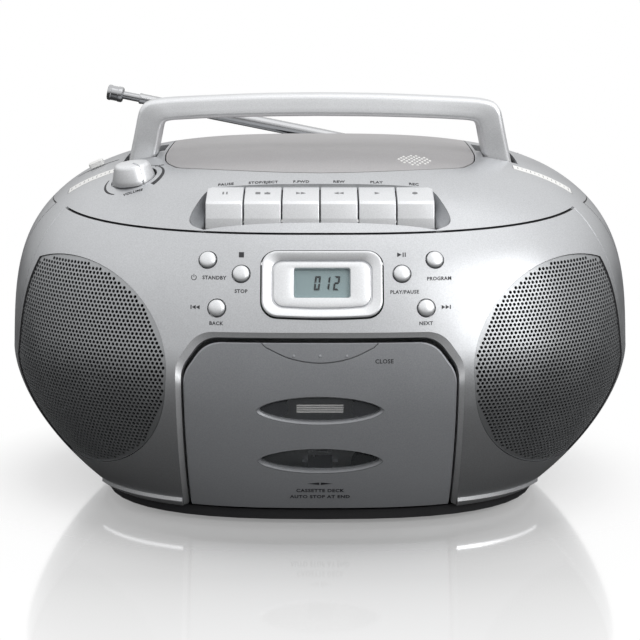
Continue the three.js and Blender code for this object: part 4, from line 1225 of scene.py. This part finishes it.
def keys():
    side = rounded(KEY_SIDE, [0.5, 0.5, 0.9, 0.9, 0.9, 0.9, 0.5, 0.3, 0.3, 0.3, 0.5], 5)
    slope = math.atan2(4.45, 17.3)
    rim = body_object(-3, 120, 192, 4, 50)
    cut(rim, body_object(WALL + 3.2, 110, 192, 4, 50))
    cut(rim, prism("z", key_pocket(0.4), 100, 220))
    for index, (name, mark) in enumerate(KEYS):
        left = (index - 3) * KEY_PITCH + KEY_GAP / 2
        right = left + KEY_PITCH - KEY_GAP
        obj = prism("x", side, left, right)
        if index in (0, 5):
            cut(obj, copy_of(rim))
        sharpen(edit(obj, soften_ends), 38)
        piece(obj, name + "_cap", name + "_body", BRIGHT, [name])
        at = ((left + right) / 2, -74.5, 166.95 + 9.5 * math.tan(slope))
        place = on_plane(at, (0, -math.sin(slope), math.cos(slope)))
        ink = icon(mark, 1.45, place, -0.05, 0.12)
        printed(name + "_mark", [ink], name + "_body", GREY_INK)
    bpy.data.objects.remove(rim)


def pocket_ends():
    """The scooped ends of the key pocket."""
    right = [(x - 0.05, y) for x, y in key_pocket(0.06)[:31]]
    for side, name in ((1, "key_pocket_right_end"), (-1, "key_pocket_left_end")):
        rings = []
        for x, y in right:
            skin = top_point(x, y)[0]
            deep = max(skin[2] - 9, 148.4)
            inner = (57.15, min(max(y, -88.2), -66.5))
            across = (1.0, 0.75, 0.5, 0.25, 0.0)
            face = []
            for share in across:
                drop = (1 - share) ** 0.6
                face.append((inner[0] + (x - inner[0]) * share, inner[1] + (y - inner[1]) * share,
                             skin[2] - 0.15 + (deep - skin[2]) * drop))
            back = [(px, py, pz - 0.8) for px, py, pz in face[::-1]]
            rings.append([(px * side, py, pz) for px, py, pz in face + back])
        obj = outward(make("scoop", *loft(rings)))
        piece(sharpen(obj, 50), name, "case", SILVER)


# ------------------------------------------------------------------ disc lid
def lid():
    """The disc lid's panel and the patch of grip dots on it."""
    made = prism("z", lid_outline(0), 150, 200)
    cut(made, body_object(0.0, 120, 320, 4, 90), "INTERSECT")
    cut(made, body_object(2.2, 110, 160, 4, 40))
    cut(made, block((-90, 90), (LID_REAR - 0.7, LID_REAR + 5), (150, 200)))
    drop_slivers(made)
    skin_normals(made)
    piece(made, "lid_panel", "cd_lid_body", LID, ["cd_lid"])
    dots = []
    for row in range(-3, 4):
        for column in range(-3, 4):
            u = (column + (row % 2) / 2) * 2.7
            v = row * 2.5
            if (u / 8.6) ** 2 + (v / 8.2) ** 2 > 1:
                continue
            dots.append(spot(top_point, 49 + u, -36 + v))
    profile = [(0, -0.3), (0.75, -0.3), (0.72, 0.12), (0.5, 0.34), (0, 0.45)]
    obj = studs("dots", profile, 14, dots, 60)
    piece(obj, "lid_grip_dots", "cd_lid_body", WHITE)


# ------------------------------------------------------------------ handle
def handle():
    """An arch lofted between an outer and an inner curve, its section slimmer across the top."""
    outer = [(105.2, 156), (105.1, 167), (102.6, 178), (99.6, 191), (97.2, 202), (95.9, 205.6),
             (93.4, 208.4), (88.5, 209.9), (80, 210.9), (60, 211.9), (30, 213), (0, 213.4)]
    inner = [(97, 156), (92.6, 167), (88.6, 178), (86.2, 188), (84.9, 194.4), (84.1, 196.8),
             (82.6, 198.6), (79.4, 199.5), (74, 199.9), (58, 200.7), (29, 201.5), (0, 201.8)]
    outer = spline(outer, 6)
    inner = spline(inner, 6)
    right = [(np.array(o), np.array(i)) for o, i in zip(outer, inner)]
    left = [(o * (-1, 1), i * (-1, 1)) for o, i in right[:-1]]
    stations = left + right[::-1]
    sections = []
    for o, i in stations:
        centre, arm = (o + i) / 2, (o - i) / 2
        thick = float(np.linalg.norm(arm))
        arm = arm / thick
        section = soft_rect(10.0, thick, 2.3, 0, 6, 3)
        ring = []
        level = abs(float(arm[1])) ** 3
        for depth, across in section:
            crown = 0.35 * (1 - (depth / 10.0) ** 2) * (across / thick)
            point = centre + arm * (across - 0.2 + crown - 0.15 * np.sign(across))
            slim = 1 - level * (0.06 + 0.2 * (across / thick + 1) / 2)
            ring.append((point[0], -2 + depth * slim, point[1]))
        sections.append(ring)
    obj = outward(make("handle", *loft(sections)))
    piece(sharpen(obj, 40), "handle_arch", "handle_body", BRIGHT, ["carry_handle"])


# ------------------------------------------------------------------ antenna
def antenna():
    """Three tubes inside one another, turned about the mast's line, with a knob at the tip."""
    along = MAST_TIP - MAST_PIVOT
    length = float(np.linalg.norm(along))
    along = along / length
    base = [(0, 5.5), (2.4, 5.5), (2.6, 6.8), (3.8, 6.9), (3.9, 7.4), (3.9, 10), (3.8, 10.3), (3.8, 171),
            (3.95, 171.4), (3.95, 172.6), (3.7, 173), (3.3, 173), (3.3, 12), (0, 12)]
    middle = [(0, 30), (3.05, 30), (3.05, 198.2), (3.2, 198.6), (3.2, 199.7), (3.0, 200), (2.6, 200),
              (2.6, 34), (0, 34)]
    tip = [(0, 45), (2.35, 45), (2.35, length - 9.8), (2.6, length - 9.6), (3.9, length - 9.4),
           (4.5, length - 8.8), (4.6, length - 8), (4.6, length - 6.6), (4.35, length - 6.2),
           (4.35, length - 2.4), (4.6, length - 2.0), (4.6, length - 0.9), (4.2, length - 0.2),
           (3.6, length), (0, length)]
    for name, profile, node, body in (
        ("antenna_base", base, "antenna_base_tube", "antenna_base_body"),
        ("antenna_middle", middle, "antenna_middle_tube", "antenna_middle_body"),
        ("antenna_tip", tip, "antenna_tip_rod", "antenna_tip_body"),
    ):
        obj = lathe(name, profile, 48, MAST_PIVOT, along, 30)
        if name == "antenna_base":
            tongue = rod_cutter(2.6, -2.8, 2.8, MAST_PIVOT, np.cross(along, (0, 1, 0)), 32)
            neck = boxed((-2.2, 2.2), (-2.2, 2.2), (0, 7.5), MAST_PIVOT, along)
            cut(obj, tongue, "UNION")
            cut(obj, neck, "UNION")
            sharpen(obj, 30)
        piece(obj, name, body, CHROME, [node])


# ------------------------------------------------------------------ knobs and sliders
def volume_knob():
    profile = [(0, -11), (2.9, -11), (2.9, -2.4), (11.1, -2.4), (11.4, -2.1), (11.4, -1.2), (11.1, 0.3),
               (9.35, 5.8), (8.9, 6.9), (8.2, 7.5), (7.0, 7.75), (4.0, 7.85), (0, 7.9)]
    obj = lathe("knob", profile, 96, KNOB_AT, KNOB_AXIS, 40)
    slot = block((-0.6, 0.6), (-14, -1.6), (-3, 10))
    slot.data.transform(Matrix.Rotation(math.radians(30), 4, "Z"))
    moved(slot, KNOB_AT, KNOB_AXIS)
    core, faces = lathe_data([(0, -10), (10.7, -10), (10.7, 0.1), (8.6, 6.4), (7.8, 7.2), (0, 7.3)], 96)
    cut(slot, make("cutter", placed(core, KNOB_AT, KNOB_AXIS), faces, smooth=False))
    cut(obj, slot)
    piece(sharpen(obj, 40), "knob_cap", "volume_knob_body", BRIGHT, ["volume_knob"])


def volume_marks():
    wedge = arc_band(14.6, lambda t: 14.9 + 2.3 * (1 - t) ** 1.2, math.radians(-48), math.radians(58), 40)
    arc = arc_band(14.4, lambda t: 14.8 + 0.7 * math.sin(t * math.pi), math.radians(158),
                   math.radians(232), 30)
    words = [letters("VOLUME", 2.4, on_top(KNOB_XY[0] + 1, KNOB_XY[1] - 14.8)),
             letters("MAX", 2.0, on_top(KNOB_XY[0] + 12.4, KNOB_XY[1] + 9.6))]
    marks = [thin(wedge, on_top(*KNOB_XY)), thin(arc, on_top(*KNOB_XY)), *words]
    printed("volume_marks", marks)


def slider():
    steps = [(2.4, 1.1, 0.3, -5), (2.4, 1.1, 0.3, 0.6), (4, 2.6, 1, 0.6), (4, 2.6, 1, 2.9),
             (3.6, 2.2, 0.9, 3.4), (3.2, 1.8, 0.7, 3.55)]
    levels = [(soft_rect(hw, hh, r, 0, 4, 2), h) for hw, hh, r, h in steps]
    cap = sharpen(stacked(levels, *SLIDER_SPOT))
    piece(cap, "slider_cap", "function_slider_body", WHITE, ["function_slider"])


def tuning_wheel():
    count = 120
    sections = []
    for depth, grow in ((-3.6, -0.5), (-3.1, 0), (-1.2, 0), (-0.9, -0.25), (0.9, -0.25), (1.2, 0),
                        (3.1, 0), (3.6, -0.5)):
        ring = []
        for k in range(count):
            a = k / count * 2 * math.pi
            r = 15.35 + 0.35 * math.cos(a * 40) + grow
            ring.append((r * math.cos(a), depth, r * math.sin(a)))
        sections.append(ring)
    verts, faces = loft(sections, flip=True)
    at, normal = TUNER_SPOT
    obj = make("wheel", placed(verts, at - normal * 12.6, normal), faces)
    piece(sharpen(obj), "tuning_wheel_rim", "tuning_wheel_body", BLACK, ["tuning_wheel"])


def strips():
    for side, name in ((-1, "left_scale_strip"), (1, "right_scale_strip")):
        strip = strip_block(side, 0)
        cut(strip, body_object(-0.05, 120, 320, 4, 90), "INTERSECT")
        cut(strip, body_object(1.0, 110, 192, 4, 60))
        skin_normals(strip)
        # Painted highlight: the white plate stands for the light that the recessed ledge on each shoulder
        # catches; the ticks on it are printed marks.
        piece(strip, name + "_plate", "case", WHITE, [name])
        marks = []
        for k in range(13):
            x = side * (104.5 + k * 2.25)
            half = 1.6 if k % 3 == 0 else 0.9
            marks.append(thin([bar(-0.14, -half, 0.14, half)], on_top(x, -23.5), 0.0, 0.12))
        printed(name + "_marks", marks, ink=GREY_INK)


# ------------------------------------------------------------------ rear fittings and feet
def rear_fittings():
    made = block((0.5 - BAY_X, BAY_X - 0.5), (60, 160), (BAY_Z[0] + 1.6, BAY_Z[1] - 0.5))
    cut(made, body_object(0.25, 0, 288, 60, 40), "INTERSECT")
    cut(made, body_object(2.4, -6, 160, 40, 24))
    for k in range(6):
        ridge = block((-13, 13), (60, 160), (74.0 + k * 1.4, 74.6 + k * 1.4))
        cut(ridge, body_object(0.9, -6, 192, 60, 40))
        cut(made, ridge)
    drop_slivers(made)
    skin_normals(made, 0.25)
    piece(made, "battery_hatch", "battery_door_body", SILVER, ["battery_door"])


def feet():
    for name in ("front_left_foot", "front_right_foot", "rear_left_foot", "rear_right_foot"):
        low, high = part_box(name)
        x, y = (low[0] + high[0]) / 2 / MM, (low[1] + high[1]) / 2 / MM
        profile = [(0, 0.35), (4.6, 0.35), (5.0, 0), (7.2, 0), (7.8, 0.4), (8.0, 1.0), (8.0, 2.5), (0, 2.5)]
        obj = lathe(name, profile, 48, (x, y, 0))
        piece(obj, name + "_pad", "case", RUBBER, [name])


def labels():
    marks = [("STANDBY", 2.45, -51.4, 132.1), ("power", 1.1, -61.4, 132.1), ("stop", 1.25, -38.3, 142.6),
             ("STOP", 2.45, -38.3, 126.2), ("back", 1.15, -60.2, 118.6), ("BACK", 2.45, -50.3, 111.3),
             ("play_pause", 1.15, 39.8, 142.6), ("PLAY/PAUSE", 2.4, 41.0, 125.8),
             ("PROGRAM", 2.4, 58.0, 131.6), ("next", 1.15, 61.2, 118.6), ("NEXT", 2.45, 51.3, 111.3)]
    front = []
    for mark, size, x, z in marks:
        draw = icon if mark in ICONS else letters
        front.append(draw(mark, size, on_front(x, z)))
    printed("front_labels", front)
    words = [("PAUSE", -47.5), ("STOP/EJECT", -28.6), ("F.FWD", -9.5), ("REW", 9.5), ("PLAY", 28.4),
             ("REC", 47.3)]
    keys_row = [letters(word, 2.6, on_top(x, -64.2)) for word, x in words]
    printed("key_labels", keys_row)

    door_words = [letters("CLOSE", 2.8, on_door(31.1, 94.0)),
                  letters("CASSETTE DECK", 3.0, on_door(0, 21.9)),
                  letters("AUTO STOP AT END", 3.0, on_door(0, 17.7)),
                  thin([triangle(-6.4, 0, 6.0, 1.6, -1), triangle(0.4, 0, 6.0, 1.6)], on_door(0, 26.6))]
    printed("door_labels", door_words, "cassette_door_body")


# ------------------------------------------------------------------ build
front_panel()
door_trim()
foot_lips()
WHOLE = walled()
top_panel(WHOLE)
rear_panel(WHOLE)
screws()
for which in (-1, 1):
    grille(which)
display()
buttons()
door()
door_windows()
behind_windows()
door_bumps()
keys()
pocket_ends()
lid()
handle()
antenna()
volume_knob()
volume_marks()
slider()
tuning_wheel()
strips()
rear_fittings()
feet()
labels()
for helper in (OUTER, SHELL, WHOLE):
    bpy.data.objects.remove(helper)

CAD_LOOKS = {
    "front_board": BOARD, "main_board": BOARD, "transformer": STEEL, "base_plate": BLACK,
    "left_speaker_frame": BLACK, "right_speaker_frame": BLACK, "left_speaker_cone": PAPER,
    "right_speaker_cone": PAPER, "cassette_carrier": DOOR, "tape_deck_frame": SILVER,
    "left_tape_hub": BLACK, "right_tape_hub": BLACK, "playback_head": STEEL, "pinch_roller": RUBBER,
    "capstan_flywheel": STEEL, "tape_motor": STEEL, "key_bracket": DOOR, "cd_well": BLACK,
    "cd_spindle": BLACK, "laser_carriage": BLACK, "ac_inlet": BLACK, "antenna_knuckle": CHROME,
}
for node_name, look in CAD_LOOKS.items():
    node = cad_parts[node_name]
    for material_slot in node.material_slots:
        material_slot.material = look


# ------------------------------------------------------------------ stage, light, camera
FLOOR_GLOW, FLOOR_MATT, FLOOR_MIRROR, FLOOR_BOUNCE = 1.0, 0.6, 0.65, 0.07
POOL_X, POOL_Y = 0.165, 0.122
HORIZON_LIGHT, SKY_LIGHT = 0.3, 1.1
ELEVATION, DISTANCE, AIM_Z = math.radians(13), 0.9, 0.08
LENS, LENS_SHIFT = 91.1, 0.0223


def stage():
    """A white table. To the eye it is self-lit, with a fading mirror near the object; to the object
    it is a dull dark surface."""
    floor = make("floor", [(-9000, -15000, 0), (9000, -15000, 0), (9000, 15000, 0), (-9000, 15000, 0)],
                 [(0, 1, 2, 3)], smooth=False)
    made = bpy.data.materials.new("floor_white")
    made.use_nodes = True
    tree = made.node_tree
    tree.nodes.clear()

    def shader(kind, color, strength=None, rough=None):
        node = tree.nodes.new(kind)
        node.inputs["Color"].default_value = (color, color, color, 1)
        if strength is not None:
            node.inputs["Strength"].default_value = strength
        if rough is not None:
            node.inputs["Roughness"].default_value = rough
        return node.outputs[0]

    def mixed(share, a, b):
        node = tree.nodes.new("ShaderNodeMixShader")
        if isinstance(share, float):
            node.inputs[0].default_value = share
        else:
            tree.links.new(share, node.inputs[0])
        tree.links.new(a, node.inputs[1])
        tree.links.new(b, node.inputs[2])
        return node.outputs[0]

    coords = tree.nodes.new("ShaderNodeTexCoord")
    split = tree.nodes.new("ShaderNodeSeparateXYZ")
    tree.links.new(coords.outputs["Object"], split.inputs[0])
    near = spread(tree, split.outputs["Y"], 1.0, 0.0, (-0.16, 0.06))
    glow = shader("ShaderNodeEmission", 1.0, strength=FLOOR_GLOW)
    across = maths(tree, "DIVIDE", split.outputs["X"], POOL_X)
    along = maths(tree, "DIVIDE", split.outputs["Y"], POOL_Y)
    across = maths(tree, "MULTIPLY", across, across)
    along = maths(tree, "MULTIPLY", along, along)
    share = maths(tree, "ADD", across, along)
    contact = spread(tree, maths(tree, "SQRT", share, 0.0), FLOOR_MATT, 0.0, (0.95, 1.3))
    matt = shader("ShaderNodeBsdfDiffuse", 0.95)
    gloss = shader("ShaderNodeBsdfAnisotropic", 1.22, rough=0.08)
    fade = maths(tree, "DIVIDE", FLOOR_MIRROR, maths(tree, "MAXIMUM", share, 1.0))
    seen = mixed(maths(tree, "MULTIPLY", near, fade),
                 mixed(contact, glow, matt), gloss)
    unseen = shader("ShaderNodeBsdfDiffuse", FLOOR_BOUNCE)
    path = tree.nodes.new("ShaderNodeLightPath")
    output = tree.nodes.new("ShaderNodeOutputMaterial")
    tree.links.new(mixed(path.outputs["Is Camera Ray"], unseen, seen), output.inputs["Surface"])
    floor.data.materials.append(made)


def area(name, at, aim, size, power):
    light = bpy.data.lights.new(name, "AREA")
    light.shape = "RECTANGLE"
    light.size, light.size_y = size
    light.energy = power
    obj = link(bpy.data.objects.new(name, light))
    obj.location = at
    direction = Vector(aim) - Vector(at)
    obj.rotation_euler = direction.to_track_quat("-Z", "Y").to_euler()
    return obj


stage()
area("top_light", (0.4, -0.25, 1.45), (0, 0, 0.1), (1.2, 0.9), 2)
area("key_light", (1.1, -1.1, 0.9), (0, 0, 0.1), (1.1, 0.9), 10)


def surroundings():
    """White to the eye; to the object, bright overhead and dimmer near the horizon."""
    world = bpy.data.worlds.new("world")
    bpy.context.scene.world = world
    world.use_nodes = True
    tree = world.node_tree
    coords = tree.nodes.new("ShaderNodeTexCoord")
    split = tree.nodes.new("ShaderNodeSeparateXYZ")
    tree.links.new(coords.outputs["Generated"], split.inputs[0])
    height = spread(tree, split.outputs["Z"], HORIZON_LIGHT, SKY_LIGHT, (0.0, 0.55))
    path = tree.nodes.new("ShaderNodeLightPath")
    seen = path.outputs["Is Camera Ray"]
    unseen = maths(tree, "MULTIPLY", maths(tree, "SUBTRACT", 1.0, seen), height)
    tree.links.new(maths(tree, "ADD", seen, unseen), tree.nodes["Background"].inputs["Strength"])
    tree.nodes["Background"].inputs["Color"].default_value = (1, 1, 1, 1)


surroundings()

camera_data = bpy.data.cameras.new("camera")
camera_data.sensor_width = 36.0
camera_data.lens = LENS
camera_data.shift_y = LENS_SHIFT
camera_data.clip_end = 60.0
camera = link(bpy.data.objects.new("camera", camera_data))
camera.location = (0, -DISTANCE * math.cos(ELEVATION), AIM_Z + DISTANCE * math.sin(ELEVATION))
camera.rotation_euler = (math.pi / 2 - ELEVATION, 0, 0)
bpy.context.scene.camera = camera
bpy.context.scene.view_settings.view_transform = "Standard"
